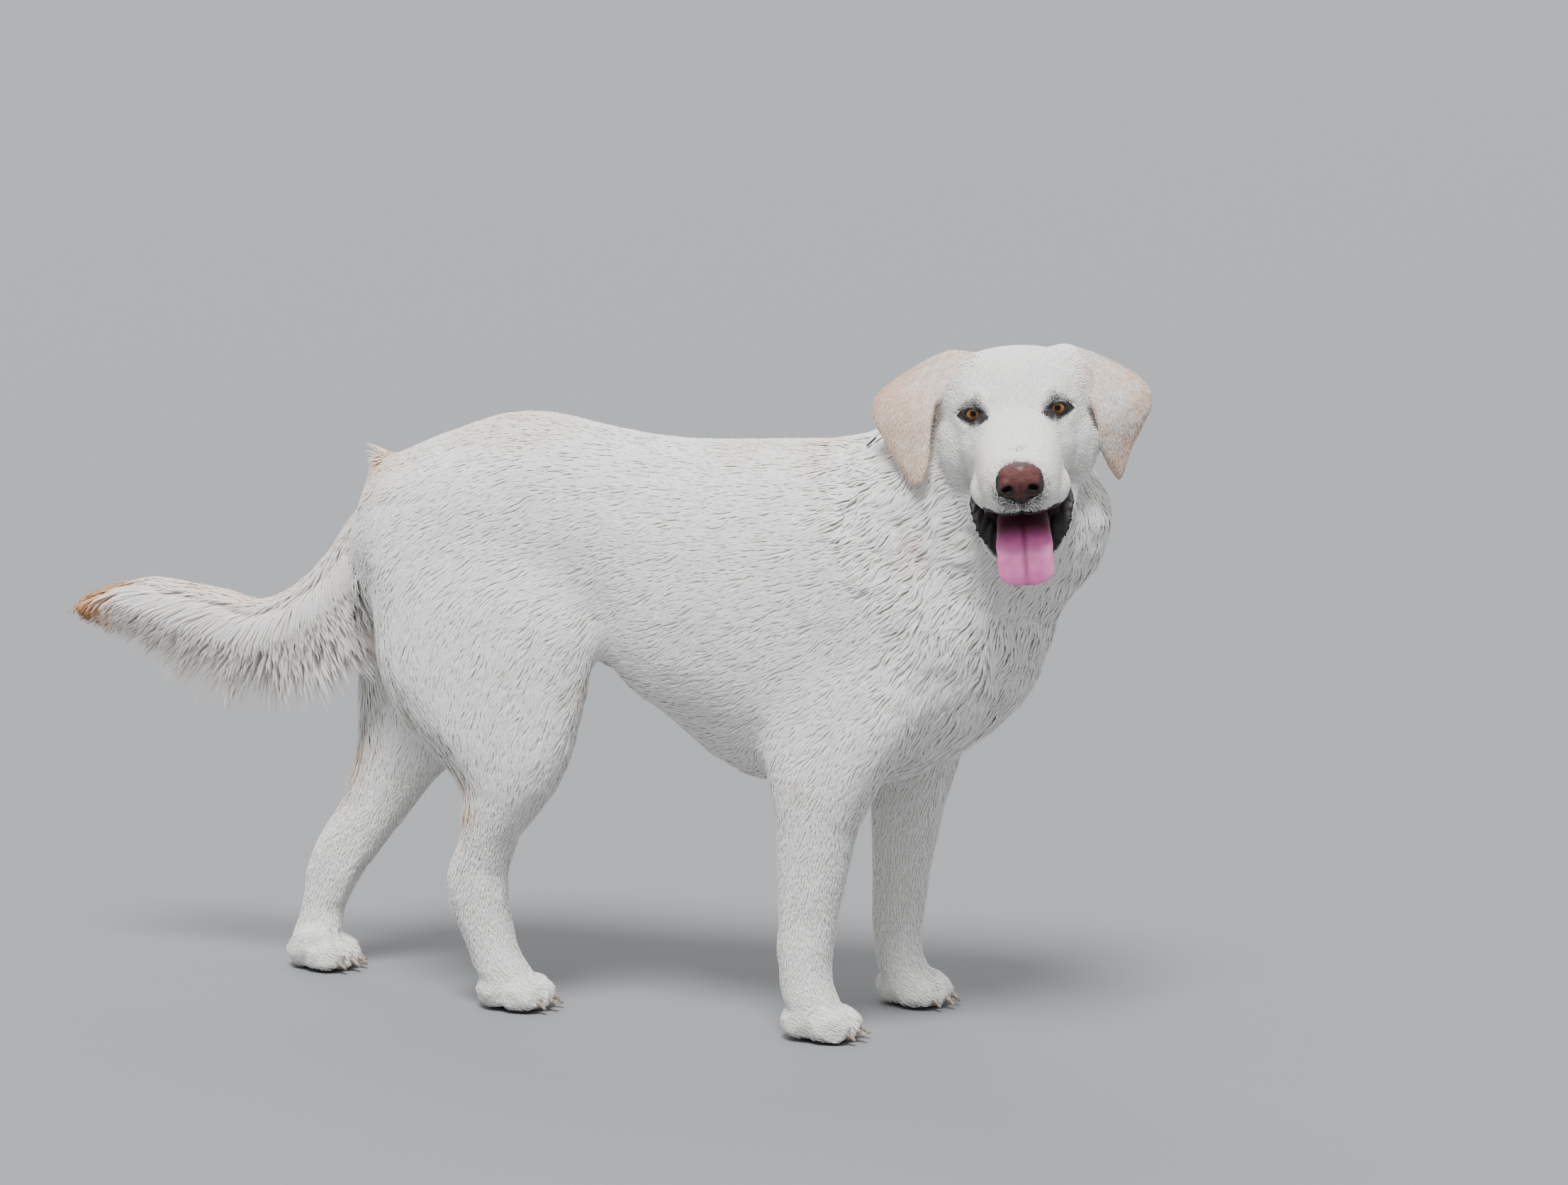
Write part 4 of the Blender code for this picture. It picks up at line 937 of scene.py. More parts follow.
def almond_distance(across, up):
    """Distance from the edge of the opening, seen square on."""
    outline = almond_outline(96)
    here = np.stack([across, up], axis=1)
    best = np.full(len(here), 1.0)
    near = np.flatnonzero((np.abs(across) < 0.04) & (np.abs(up) < 0.04))
    gaps = np.linalg.norm(here[near, None] - outline[None], axis=2)
    best[near] = gaps.min(axis=1)
    return best


# ---------------------------------------------------------------- coat


# Roots: how many are tried for each one's square of spacing, how close two may be, in spacings,
# and how much closer they stand where the hair hangs
TRIALS = 3.6
CLOSEST = 0.80
PLUME_SPACING = 0.72

# How much the locks differ: in length, width and height over the skin, and in their turn
LENGTH_RANGE = (0.72, 1.18)
WIDTH_RANGE = (0.75, 1.25)
RISE_RANGE = (0.66, 1.02)
TURN = 0.07
# How deep each starts below the skin
SUNK = 0.0006

# The tail's hanging hair: how far it fans down at the tail's root and how much less at its tip,
# in degrees, and its shortest and longest locks
FAN = 80.0
FAN_LOSS = 52.0
PLUME_REACH = (0.016, 0.170)

# Hair that hangs with the tail's: how near to its middle line, from what ragged height up, and
# the share of the locks that do hang
BESIDE_TAIL = 0.062
HEM_HEIGHT = 0.425
HEM_RAGGED = 0.030
HANGING_SHARE = 0.92

# Parts of the coat whose locks have three stations instead of two, and the pieces by part
LONG_HAIR = ("neck", "chest", "breech", "tail", "cheek")
PIECES = {
    "coat_head": ("skull", "cheek", "muzzle", "jaw", "ear"),
    "coat_neck": ("neck", "chest"),
    "coat_trunk": ("back", "side", "belly"),
    "coat_legs": ("thigh", "breech", "arm", "shank", "paw"),
    "coat_tail": ("tail",),
    "coat_plume": ("plume",),
}


def corner_mean(values, tris, share):
    """Values at points of a mesh, read at places inside its triangles."""
    picked = values[tris]
    share = share if values.ndim == 1 else share[..., None]
    return (picked * share).sum(axis=1)


def places_of(skin):
    """Roots of the tufts, none too close: the triangle of each and its place in it."""
    a, b, c = (skin.points[skin.tris[:, corner]] for corner in range(3))
    area = 0.5 * np.linalg.norm(np.cross(b - a, c - a), axis=1)
    spacing = skin.spacing[skin.tris].mean(axis=1)
    bare = skin.bare[skin.tris].mean(axis=1)
    spacing = np.where(hangs(skin, np.arange(len(area))), PLUME_SPACING * spacing, spacing)
    wanted = TRIALS * area / spacing**2 * (bare < 0.5)
    count = np.floor(wanted + random.random(len(wanted))).astype(int)
    tri = np.repeat(np.arange(len(count)), count)
    tri = tri[random.permutation(len(tri))]
    share = random.random((len(tri), 2))
    over = share.sum(axis=1) > 1.0
    share[over] = 1.0 - share[over]
    share = np.column_stack([1.0 - share.sum(axis=1), share])
    spot = corner_mean(skin.points, skin.tris[tri], share)
    tree = KDTree(len(spot))
    for number, place in enumerate(spot.tolist()):
        tree.insert(place, number)
    tree.balance()
    free = np.ones(len(spot), bool)
    kept = []
    gaps = (CLOSEST * spacing[tri]).tolist()
    for number, (place, gap) in enumerate(zip(spot.tolist(), gaps)):
        if free[number]:
            kept.append(number)
            for _, other, _ in tree.find_range(place, gap):
                free[other] = False
    kept = np.array(kept)
    return tri[kept], share[kept]


def turned(vectors, normals, angle):
    """Vectors along the surface, turned about its normals."""
    across = np.cross(normals, vectors)
    return vectors * np.cos(angle)[:, None] + across * np.sin(angle)[:, None]


class Tufts:
    """Locks that start at roots on the skin and follow the lie of the coat."""

    def __init__(self, skin, tri, share, stations):
        self.skin = skin
        self.tri = tri
        self.stations = stations
        rows = skin.tris[tri]
        self.root = corner_mean(skin.points, rows, share)
        self.uv = (skin.corner_uv[tri] * share[..., None]).sum(axis=1)
        for name in ("tan", "free", "spring", "crest", "cover", "length", "width", "depth"):
            setattr(self, name, corner_mean(getattr(skin, name), rows, share))
        self.normal = unit(corner_mean(skin.normal, rows, share))
        count = len(tri)
        pepper_and_shade = corner_mean(skin.grey, rows, share)
        dark = random.random(count) < 1.35 * pepper_and_shade
        self.grey = np.where(dark, 0.25 + 0.75 * pepper_and_shade, 0.0)
        self.length = self.length * random.uniform(*LENGTH_RANGE, count) * (1.0 + 0.70 * self.crest)
        self.width = self.width * random.uniform(*WIDTH_RANGE, count)
        self.shade = random.random(count)
        self.taper = {3: (0.55, 1.0, 0.75), 2: (0.65, 1.0)}[stations]
        self.wavy = skin.face_ripple[tri]
        sway = 0.10 + 0.60 * self.wavy
        self.jitter = random.normal(0.0, TURN, count) + sway * waves(self.root, 0.030, 5)

    def lay(self):
        """Lays each lock down along the skin, or lets it fly where the coat is loose."""
        stations = self.stations
        count = len(self.root)
        rise = random.uniform(*RISE_RANGE, count)
        stray = random.random(count) < 0.012 + 0.10 * self.wavy
        uneven = (0.06 + 0.70 * self.wavy) * waves(self.root, 0.018, 21)
        rise = np.clip(rise * (1.0 + uneven) + 0.35 * stray, 0.45, 1.6)
        high = self.depth * rise + OVER_COLLAR * self.cover
        profile = {3: (0.72, 1.0, 0.82), 2: (1.0, 0.78)}[stations]
        loose_share = np.maximum(self.free, self.crest)[:, None]
        self.line = [self.root - self.normal * SUNK]
        self.up = [self.normal]
        step = (self.length / stations)[:, None]
        place, face, lift = self.root, self.tri, self.normal
        for number in range(stations):
            ahead = self.way(face, place, lift)
            spring = self.spring * (1.0 if number == 0 else 0.35) + 3.0 * self.crest
            loose = unit(ahead + lift * spring[:, None])
            loose = loose + 0.16 * DOWN * (self.free * number)[:, None]
            beyond = place + unit(loose) * step
            found = [self.skin.tree.find_nearest(point) for point in beyond.tolist()]
            face = np.array([one[2] for one in found])
            onto = np.array([one[0] for one in found])
            lift = self.skin.face_normal[face]
            above = (high * profile[number])[:, None]
            lying = onto + lift * above
            apart = ((beyond - onto) * lift).sum(axis=1, keepdims=True)
            flying = onto + lift * np.maximum(apart, above * 0.6)
            flying = flying + ((beyond - onto) - lift * apart)
            self.line.append(lying * (1.0 - loose_share) + flying * loose_share)
            self.up.append(lift)
            place = onto * (1.0 - loose_share) + beyond * loose_share

    def way(self, face, place, lift):
        """Direction of the coat there, with its ripples."""
        flow = self.skin.face_flow[face]
        body = to_body(place)
        along = body @ np.array((0.0, -0.84, -0.54)) + 0.016 * waves(place, 0.09, 3)
        ripple = np.sin(along * (2.0 * math.pi / RIPPLE_LENGTH)) * self.skin.face_ripple[face]
        flow = turned(flow, lift, ripple + self.jitter)
        return unit(flow - lift * (flow * lift).sum(axis=1, keepdims=True))

    def mesh(self):
        """Points, triangles and per-point numbers of all locks as closed three-sided horns."""
        count, stations = len(self.root), self.stations
        line, up = np.stack(self.line, 1), np.stack(self.up, 1)
        tangent = unit(np.gradient(line, axis=1))
        side = unit(np.cross(tangent, up))
        top = np.cross(side, tangent)
        rings = []
        for number in range(stations):
            half = (0.5 * self.width * self.taper[number])[:, None]
            middle = line[:, number]
            rings.append(middle - side[:, number] * half)
            rings.append(middle + side[:, number] * half)
            rings.append(middle + top[:, number] * half * 0.42)
        rings.append(line[:, stations])
        points = np.stack(rings, axis=1)
        per = 3 * stations + 1
        one = [(0, 1, 2)]
        for number in range(stations - 1):
            for a, b in ((0, 1), (1, 2), (2, 0)):
                a, b = a + 3 * number, b + 3 * number
                one += [(b, a, a + 3), (b, a + 3, b + 3)]
        tip, last = per - 1, 3 * (stations - 1)
        one += [(last + 1, last, tip), (last + 2, last + 1, tip), (last, last + 2, tip)]
        tris = np.array(one)[None] + (np.arange(count) * per)[:, None, None]
        along = np.append(np.repeat(np.arange(stations) / stations, 3), 1.0)
        across = np.append(np.tile((0.0, 1.0, 0.5), stations), 0.5)
        spot = np.stack([across - 0.5, along - 0.5], axis=1) * PATCH
        uv = np.clip(self.uv[:, None] + spot[None], 0.0, 1.0)
        numbers = {"along": np.tile(along, (count, 1))}
        for name in ("tan", "grey", "shade"):
            numbers[name] = np.repeat(getattr(self, name)[:, None], per, axis=1)
        return points.reshape(-1, 3), tris.reshape(-1, 3), uv.reshape(-1, 2), numbers


class Plume(Tufts):
    """Long hair that hangs from the sides and the underside of the tail."""

    def lay(self):
        """Fans each lock out from the tail to the CAD's outline, with a slight droop."""
        _, share, _ = near_line(to_body(self.root), TAIL_CORE)
        along = tail_way(share)
        down = unit(DOWN - along * (along @ DOWN)[:, None])
        under = 0.5 + 0.5 * (self.normal * down).sum(axis=1)
        fan = np.radians(FAN - FAN_LOSS * share) * under**0.4 + 1.2 * self.jitter
        sideways = np.cross(along, down)
        sideways = sideways * ((self.normal * sideways).sum(axis=1) * 0.16)[:, None]
        ahead = unit(along * np.cos(fan)[:, None] + down * np.sin(fan)[:, None] + sideways)
        start = self.root + self.normal * 0.0005
        reach = np.minimum(self.length, 0.03)
        for number, (place, way) in enumerate(zip(start.tolist(), ahead.tolist())):
            found = self.skin.tail_form.ray_cast(place, way, 0.25)[3]
            reach[number] = reach[number] if found is None else found
        reach = reach * (1.12 - 0.30 * random.random(len(reach)) ** 1.6)
        reach = np.clip(reach, *PLUME_REACH)
        self.width = self.width * (1.0 + 7.0 * reach)
        self.taper = (0.6, 1.0, 1.0)
        droop = down * (reach * 0.06)[:, None]
        self.line = [self.root - self.normal * SUNK]
        self.up = [self.normal]
        spring = self.normal * np.minimum(0.006, 0.12 * reach)[:, None]
        for stage, bow in ((0.34, 1.0), (0.76, 0.6), (1.0, 0.0)):
            swing = along * (reach * 0.10 * math.sin(math.pi * stage))[:, None]
            spot = self.root + ahead * (reach * stage)[:, None] + spring * bow + swing
            self.line.append(spot + droop * stage**2)
            self.up.append(self.normal)


def tail_way(share):
    """World direction toward the tip of the tail, at a share of its length."""
    core = np.array(TAIL_CORE)[:, :3]
    grid = np.linspace(0.0, 1.0, len(core))
    later = np.clip(share + 0.05, 0.0, 1.0)
    ends = []
    for place in (later, later - 0.10):
        ends.append(np.stack([np.interp(place, grid, core[:, axis]) for axis in range(3)], axis=1))
    return unit(ends[0] - ends[1]) * np.array((1.0, -1.0, 1.0))


def add_numbers(obj, numbers):
    for name, values in numbers.items():
        layer = obj.data.attributes.new(name, "FLOAT", "POINT")
        layer.data.foreach_set("value", np.asarray(values, np.float32).ravel())


def add_uv(obj, corner_uv):
    layer = obj.data.uv_layers.new(name=UV_NAME)
    layer.data.foreach_set("uv", np.asarray(corner_uv, np.float32).ravel())


def crease_underside(mesh, per):
    """Keeps the flat underside of every lock apart from its two rounded upper faces."""
    ends = np.empty(len(mesh.edges) * 2, np.int32)
    mesh.edges.foreach_get("vertices", ends)
    place = ends.reshape(-1, 2) % per
    ridge = (place % 3 == 2) & (place < per - 1)
    sharp = mesh.attributes.new("sharp_edge", "BOOLEAN", "EDGE")
    sharp.data.foreach_set("value", ~ridge.any(axis=1))


def clumps_of(root, most):
    """Splits the roots into groups no larger than that, along their longest side."""
    groups = [np.arange(len(root))]
    while max(len(group) for group in groups) > most:
        group = max(groups, key=len)
        groups = [other for other in groups if other is not group]
        axis = np.ptp(root[group], axis=0).argmax()
        order = group[np.argsort(root[group, axis])]
        groups += [order[: len(order) // 2], order[len(order) // 2 :]]
    return groups


def hangs(skin, tri):
    """Which triangles are on the part of the tail whose hair hangs free."""
    body = to_body(skin.points[skin.tris[tri, 0]])
    spot, share, _ = near_line(body, TAIL_CORE)
    along = tail_way(share)
    down = unit(DOWN + along * along[:, 2:])
    under = (skin.face_normal[tri] * down).sum(axis=1)
    part = skin.part[skin.tris[tri, 0]]
    hem = HEM_HEIGHT + HEM_RAGGED * waves(body, 0.014, 41)
    near = np.linalg.norm(body - spot, axis=1) < BESIDE_TAIL
    beside = (part == "breech") & near & (body[:, 2] > hem)
    return (under > -0.45) & (part == "tail") | beside


def add_coat(skin, finish):
    """Every tuft, in pieces by part of the body."""
    tri, share = places_of(skin)
    part = skin.part[skin.tris[tri, 0]]
    long_hair = np.isin(part, LONG_HAIR)
    hanging = hangs(skin, tri) & (random.random(len(tri)) < HANGING_SHARE)
    part = np.where(hanging, "plume", part)
    for name, parts in PIECES.items():
        for stations, label in ((2, "short"), (3, "long")):
            here = np.flatnonzero(np.isin(part, parts) & (long_hair == (stations == 3)))
            if len(here) == 0:
                continue
            kind = Plume if name == "coat_plume" else Tufts
            spots = skin.points[skin.tris[tri[here], 0]]
            groups = clumps_of(spots, PIECE_TRIANGLES // (6 * stations - 2))
            for number, group in enumerate(groups):
                chosen = here[group]
                tufts = kind(skin, tri[chosen], share[chosen], stations)
                tufts.lay()
                points, tris, uv, numbers = tufts.mesh()
                title = "%s_%s_%d" % (name, label, number + 1)
                piece = add_piece(title, (points, tris), finish)
                crease_underside(piece.data, 3 * stations + 1)
                add_uv(piece, uv[tris.ravel()])
                add_numbers(piece, numbers)


# ---------------------------------------------------------------- face pieces


def lofted(rings):
    """A closed mesh over rings of equally many points, each end closed by a fan."""
    rings = np.asarray(rings, float)
    count, around = rings.shape[:2]
    points = rings.reshape(-1, 3)
    ends = np.stack([rings[0].mean(axis=0), rings[-1].mean(axis=0)])
    points = np.concatenate([points, ends])
    row, column = np.meshgrid(np.arange(count - 1), np.arange(around), indexing="ij")
    a = (row * around + column).ravel()
    b = (row * around + (column + 1) % around).ravel()
    tris = [np.stack([a, b, b + around], 1), np.stack([a, b + around, a + around], 1)]
    first, last = np.arange(around), (count - 1) * around + np.arange(around)
    tris.append(np.stack([np.full(around, len(points) - 2), np.roll(first, -1), first], 1))
    tris.append(np.stack([np.full(around, len(points) - 1), last, np.roll(last, -1)], 1))
    return outward(points, np.concatenate(tris))


def outward(points, tris):
    """The same mesh with its faces turned out."""
    inside_out = np.linalg.det(points[tris] - points.mean(axis=0)).sum() < 0.0
    return points, tris[:, ::-1] if inside_out else tris


def closed_tube(path, across, above, wide, high, around=12):
    """A ring-shaped tube along a closed path, as points and triangles."""
    path = np.asarray(path, float)
    count = len(path)
    turn = turns(around)
    shape = np.cos(turn)[None, :, None] * wide * across[:, None]
    shape = shape + np.sin(turn)[None, :, None] * high * above[:, None]
    points = (path[:, None] + shape).reshape(-1, 3)
    row, column = np.meshgrid(np.arange(count), np.arange(around), indexing="ij")
    after = ((row + 1) % count) * around
    a, b = (row * around + column).ravel(), (row * around + (column + 1) % around).ravel()
    c, d = (after + (column + 1) % around).ravel(), (after + column).ravel()
    tris = np.concatenate([np.stack([a, b, c], 1), np.stack([a, c, d], 1)])
    return points, tris if np.linalg.det(points[tris]).sum() > 0 else tris[:, ::-1]


def smooth_line(rows, count):
    """A smooth run of any numbers through the rows, evenly spaced in their order."""
    rows = np.asarray(rows, float)
    known = np.arange(len(rows), dtype=float)
    wanted = np.linspace(0.0, len(rows) - 1.0, count)
    slope = np.gradient(rows, axis=0)
    low = np.clip(np.floor(wanted).astype(int), 0, len(rows) - 2)
    t = (wanted - known[low])[:, None]
    a, b = rows[low], rows[low + 1]
    ta, tb = slope[low], slope[low + 1]
    return (
        a * (2 * t**3 - 3 * t**2 + 1) + b * (3 * t**2 - 2 * t**3)
        + ta * (t**3 - 2 * t**2 + t) + tb * (t**3 - t**2)
    )


def both_sides(line):
    """A line that ends in the middle, with its mirror image after it."""
    return np.concatenate([line, line[-2::-1] * np.array((-1.0, 1.0, 1.0))])


def add_piece(name, shape, finish, replaced=()):
    """A piece of points and triangles that rides the root."""
    piece = new_object(name, *shape)
    piece.data.materials.append(finish)
    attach(piece, "root")
    if replaced:
        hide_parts(*replaced)
    return piece


# Where the eyes look, per unit ahead, and how far the cornea stands out, between two angles
GAZE_SIDE = 0.09
GAZE_RISE = 0.265
CORNEA_RISE = 0.0012
CORNEA_EDGE = (46.0, 10.0)

# The dark edge of the lids, half across and half high, and the ball at the inner corner
LID_EDGE = (0.00155, 0.0010)
CORNER_RADII = (0.0026, 0.0016, 0.0022)


def add_eye(label, sign, finish, rim):
    """The eyeball with its cornea, the dark edge of the lids and the inner corner."""
    centre = eye_centre(sign)
    gaze = unit(HEAD @ np.array((sign * GAZE_SIDE, 1.0, GAZE_RISE)))
    across = unit(np.cross(HEAD[:, 2], gaze))
    up = np.cross(gaze, across)
    axes = np.stack([across, up, gaze], axis=1)
    points, tris = ellipsoid((0.0, 0.0, 0.0), (1.0, 1.0, 1.0), np.eye(3), 48)
    polar = np.arccos(np.clip(points[:, 2], -1.0, 1.0))
    squeeze = polar / math.pi
    squeeze = 0.35 * squeeze + 0.65 * squeeze**2
    turn = np.arctan2(points[:, 1], points[:, 0])
    polar = squeeze * math.pi
    reach = EYE_RADIUS + CORNEA_RISE * step_up(np.degrees(polar), *CORNEA_EDGE)
    local = np.stack([np.sin(polar) * np.cos(turn), np.sin(polar) * np.sin(turn), np.cos(polar)], 1)
    local = local * reach[:, None]
    shape = outward(local @ axes.T + centre, tris)
    piece = add_piece("eyeball_" + label, shape, finish, ["eye_" + label])
    spokes = {"spoke_x": np.cos(turn), "spoke_y": np.sin(turn)}
    add_numbers(piece, {"reach": np.degrees(polar), **spokes})
    lid_axes = eye_axes(sign)
    outline = almond_outline(80)
    middle = outline.mean(axis=0)
    away = unit(outline - middle)
    outline = outline + away * 0.0006
    globe = EYE_RADIUS + 0.0008
    flat = np.linalg.norm(outline, axis=1)
    deep = np.sqrt(np.maximum(globe**2 - flat**2, (0.0030) ** 2))
    path = np.column_stack([outline, deep])
    out = unit(path)
    side = np.column_stack([away, np.zeros(len(away))])
    side = unit(side - out * (side * out).sum(axis=1, keepdims=True))
    points, tris = closed_tube(path, side, out, *LID_EDGE)
    add_piece("lid_edge_" + label, (points @ lid_axes.T + centre, tris), rim)
    corner = np.array((-LID_HALF_WIDTH - 0.0002, LID_INNER_CORNER, 0.0046)) @ lid_axes.T + centre
    shape = ellipsoid(corner, CORNER_RADII, lid_axes, 16)
    add_piece("eye_corner_" + label, shape, rim)


NOSE_VOXEL = 0.0008

# The nose from its middle, for one side: centre and reach of the wing and the nostril
NOSE_WING = ((0.0150, 0.012, 0.0035), (0.008, 0.012, 0.007))
NOSTRIL = ((0.0125, 0.010, -0.0040), (0.0115, 0.016, 0.0090))


def add_nose(finish):
    """The leather of the nose, with its wings, slits and the groove between the nostrils."""
    points, tris = remeshed(*welded("nose"), NOSE_VOXEL)
    net = Net(len(points), tris)
    points = net.faired(points, 14, np.ones(len(points)))
    local = to_head(points)
    normal = vertex_normals(points, tris)
    middle = np.array(to_head(np.array(middle_of("nose"))))
    side, front, up = (local - middle).T
    groove = np.exp(-((side / 0.0011) ** 2)) * step_up(up, 0.002, -0.005) * (front > 0.0)
    arch = np.abs(side) - 0.0150
    slit = np.exp(-(((up + 0.0075 + 14.0 * arch * arch * 10.0) / 0.0012) ** 2))
    slit = slit * step_up(np.abs(side), 0.012, 0.016) * (front > 0.002)
    wing = bump_at(np.column_stack([np.abs(side), front, up]), *NOSE_WING)
    points = points + normal * (0.0009 * wing - 0.0016 * groove - 0.0012 * slit)[:, None]
    piece = add_piece("nose_pad", (points, tris), finish, ["nose"])
    edge = np.maximum(step_up(np.abs(side), 0.0165, 0.0225), step_up(up, -0.0075, -0.0150))
    edge = np.maximum(edge, step_up(up, 0.0165, 0.0200) * 0.5)
    edge = np.maximum(edge, 0.42 * step_up(up, 0.006, -0.010))
    # Painted shade: the nostrils' openings, darkened nearly to black by the finish
    hole = np.zeros(len(points))
    for sign in (-1.0, 1.0):
        spot = np.column_stack([side * sign, front, up])
        hole = np.maximum(hole, bump_at(spot, *NOSTRIL))
    add_numbers(piece, {"rim": np.clip(edge, 0.0, 1.0), "hole": np.clip(hole * 1.6, 0.0, 1.0)})


# The tongue in the head's frame: front, up, half width, half thickness
TONGUE = (
    (0.006, -0.0930, 0.0190, 0.0050),
    (0.030, -0.0985, 0.0250, 0.0052),
    (0.056, -0.1065, 0.0278, 0.0048),
    (0.074, -0.1150, 0.0284, 0.0043),
    (0.0835, -0.1255, 0.0272, 0.0038),
    (0.0868, -0.1360, 0.0290, 0.0034),
    (0.0878, -0.1440, 0.0270, 0.0030),
    (0.0872, -0.1510, 0.0200, 0.0026),
    (0.0860, -0.1550, 0.0085, 0.0020),
)


def add_tongue(finish):
    """The tongue, hollowed along its middle and cupped toward the tip."""
    rows = smooth_line(TONGUE, 72)
    rings = []
    turn = turns(56)
    heading = np.gradient(rows[:, :2], axis=0)
    heading = heading / np.linalg.norm(heading, axis=1, keepdims=True)
    for number, (front, up, half, thick) in enumerate(rows):
        share = number / (len(rows) - 1.0)
        above = np.array((-heading[number, 1], heading[number, 0]))
        above = above if above @ np.array((0.55, 0.83)) > 0 else -above
        wave = 1.0 + 0.030 * math.sin(share * 17.0)
        across = np.sign(np.cos(turn)) * np.abs(np.cos(turn)) ** 0.85
        over = np.sign(np.sin(turn)) * np.abs(np.sin(turn)) ** 0.9
        hollow = -0.0016 * np.exp(-((across * half / 0.0030) ** 2)) * (over > 0)
        cup = 0.0020 * across**2 * step_up(share, 0.2, 0.6)
        lift = thick * over * (1.0 - 0.15 * across**2) + hollow + cup
        side = across * half * wave
        rings.append(np.stack([side, front + above[0] * lift, up + above[1] * lift], axis=1))
    points, tris = lofted(rings)
    piece = add_piece("tongue_flesh", (from_head(points), tris), finish, ["tongue"])
    # Painted shade, read by the finish: darker along the middle groove, and toward the throat where
    # the upper lip shades the tongue
    groove = np.exp(-((points[:, 0] / 0.0013) ** 2)) * step_up(points[:, 2], -0.152, -0.140)
    depth = step_up(points[:, 1], 0.082, 0.052)
    add_numbers(piece, {"groove": groove, "deep": depth})


# Edge of the lower lip and the inner line beside the tongue, for one side: side, front, up
LIP_EDGE = (
    (0.0530, 0.008, -0.0745),
    (0.0520, 0.018, -0.0900),
    (0.0485, 0.030, -0.1050),
    (0.0440, 0.041, -0.1150),
    (0.0350, 0.053, -0.1225),
    (0.0275, 0.061, -0.1310),
    (0.0170, 0.068, -0.1370),
    (0.0000, 0.071, -0.1395),
)
LIP_INNER = (
    (0.0450, 0.004, -0.0790),
    (0.0390, 0.010, -0.0870),
    (0.0340, 0.020, -0.0950),
    (0.0300, 0.032, -0.1040),
    (0.0260, 0.044, -0.1120),
    (0.0210, 0.053, -0.1210),
    (0.0130, 0.059, -0.1290),
    (0.0000, 0.061, -0.1320),
)


def add_lips(finish):
    """The black lower lip, a thick soft band round the jaw with a crinkled edge at the sides."""
    edge = both_sides(smooth_line(LIP_EDGE, 90))
    inner = both_sides(smooth_line(LIP_INNER, 90))
    count = len(edge)
    out = unit(edge - inner)
    along = unit(np.gradient(edge, axis=0))
    above = unit(np.cross(along, out))
    above = above * np.where(above[:, 2] > 0.0, 1.0, -1.0)[:, None]
    share = np.abs(np.linspace(-1.0, 1.0, count))
    crinkle = step_up(share, 0.30, 0.42) * step_up(share, 0.93, 0.82)
    travel = np.concatenate([[0.0], np.cumsum(np.linalg.norm(np.diff(edge, axis=0), axis=1))])
    beads = np.abs(np.sin(travel * math.pi / 0.0062 + 1.4 * np.sin(travel * 310.0)))
    beads = beads * (0.65 + 0.35 * np.sin(travel * 640.0 + 1.0))
    edge = edge + out * (0.0026 * crinkle * beads + 0.0004)[:, None]
    turn = turns(28)
    rings = []
    for number in range(count):
        middle = 0.5 * (edge[number] + inner[number])
        pointed = float(step_up(share[number], 1.02, 0.86)) ** 0.6
        half = 0.5 * np.linalg.norm(edge[number] - inner[number]) * pointed
        across = np.cos(turn)
        bead = crinkle[number] * beads[number] * step_up(across, 0.45, 0.95)
        thick = (0.0020 + 0.0014 * bead) * pointed * np.sin(turn)
        fold = 0.0003 * np.sin(travel[number] * 420.0 + across * 3.0) * (np.sin(turn) > 0)
        wide = np.outer(across * half, out[number])
        rings.append(middle + wide + np.outer(thick + fold, above[number]))
    points, tris = lofted(rings)
    add_piece("lower_lip", (from_head(points), tris), finish)


# The rim of the upper lip, for one side: side, front, up
UPPER_LIP = (
    (0.0525, 0.020, -0.0745),
    (0.0480, 0.034, -0.0785),
    (0.0425, 0.055, -0.0815),
    (0.0350, 0.076, -0.0830),
    (0.0240, 0.094, -0.0815),
    (0.0100, 0.106, -0.0775),
    (0.0000, 0.109, -0.0745),
)


def add_upper_lip(skin, finish):
    """A thin dark rim along the lower edge of the flews."""
    path = both_sides(smooth_line(UPPER_LIP, 60))
    flews = skin.net.spread(skin.is_node("head").astype(float), 1) > 0.9
    faces = skin.tris[flews[skin.tris].all(axis=1)]
    tree = tree_of(to_head(skin.points), faces)
    path = np.array([tree.find_nearest(place)[0] for place in path.tolist()])
    for _ in range(6):
        path[1:-1] += 0.5 * (0.5 * (path[:-2] + path[2:]) - path[1:-1])
    along = unit(np.gradient(path, axis=0))
    out = unit(np.cross(along, np.array((0.0, 0.0, 1.0))))
    above = np.cross(out, along)
    turn = turns(14)
    share = np.abs(np.linspace(-1.0, 1.0, len(path)))
    half = 0.0009 * step_up(share, 1.0, 0.9) + 0.0004
    rings = []
    for number in range(len(path)):
        shape = np.outer(np.cos(turn) * half[number] * 1.5, out[number])
        rings.append(path[number] + shape + np.outer(np.sin(turn) * half[number], above[number]))
    points, tris = lofted(rings)
    add_piece("upper_lip", (from_head(points), tris), finish)


CLAW_GROWTH = 0.0017


def add_claws(finish):
    """Each claw, a little thicker than its CAD form and rounded."""
    for node in sorted(CAD):
        if not node.startswith("claw"):
            continue
        points, tris = welded(node)
        points = points + CLAW_GROWTH * vertex_normals(points, tris)
        piece = add_piece(node.replace("claw", "horn"), (points, tris), finish, [node])
        modifier = piece.modifiers.new("round", "SUBSURF")
        modifier.levels = modifier.render_levels = 2


COLLAR_BEVEL = 0.0008


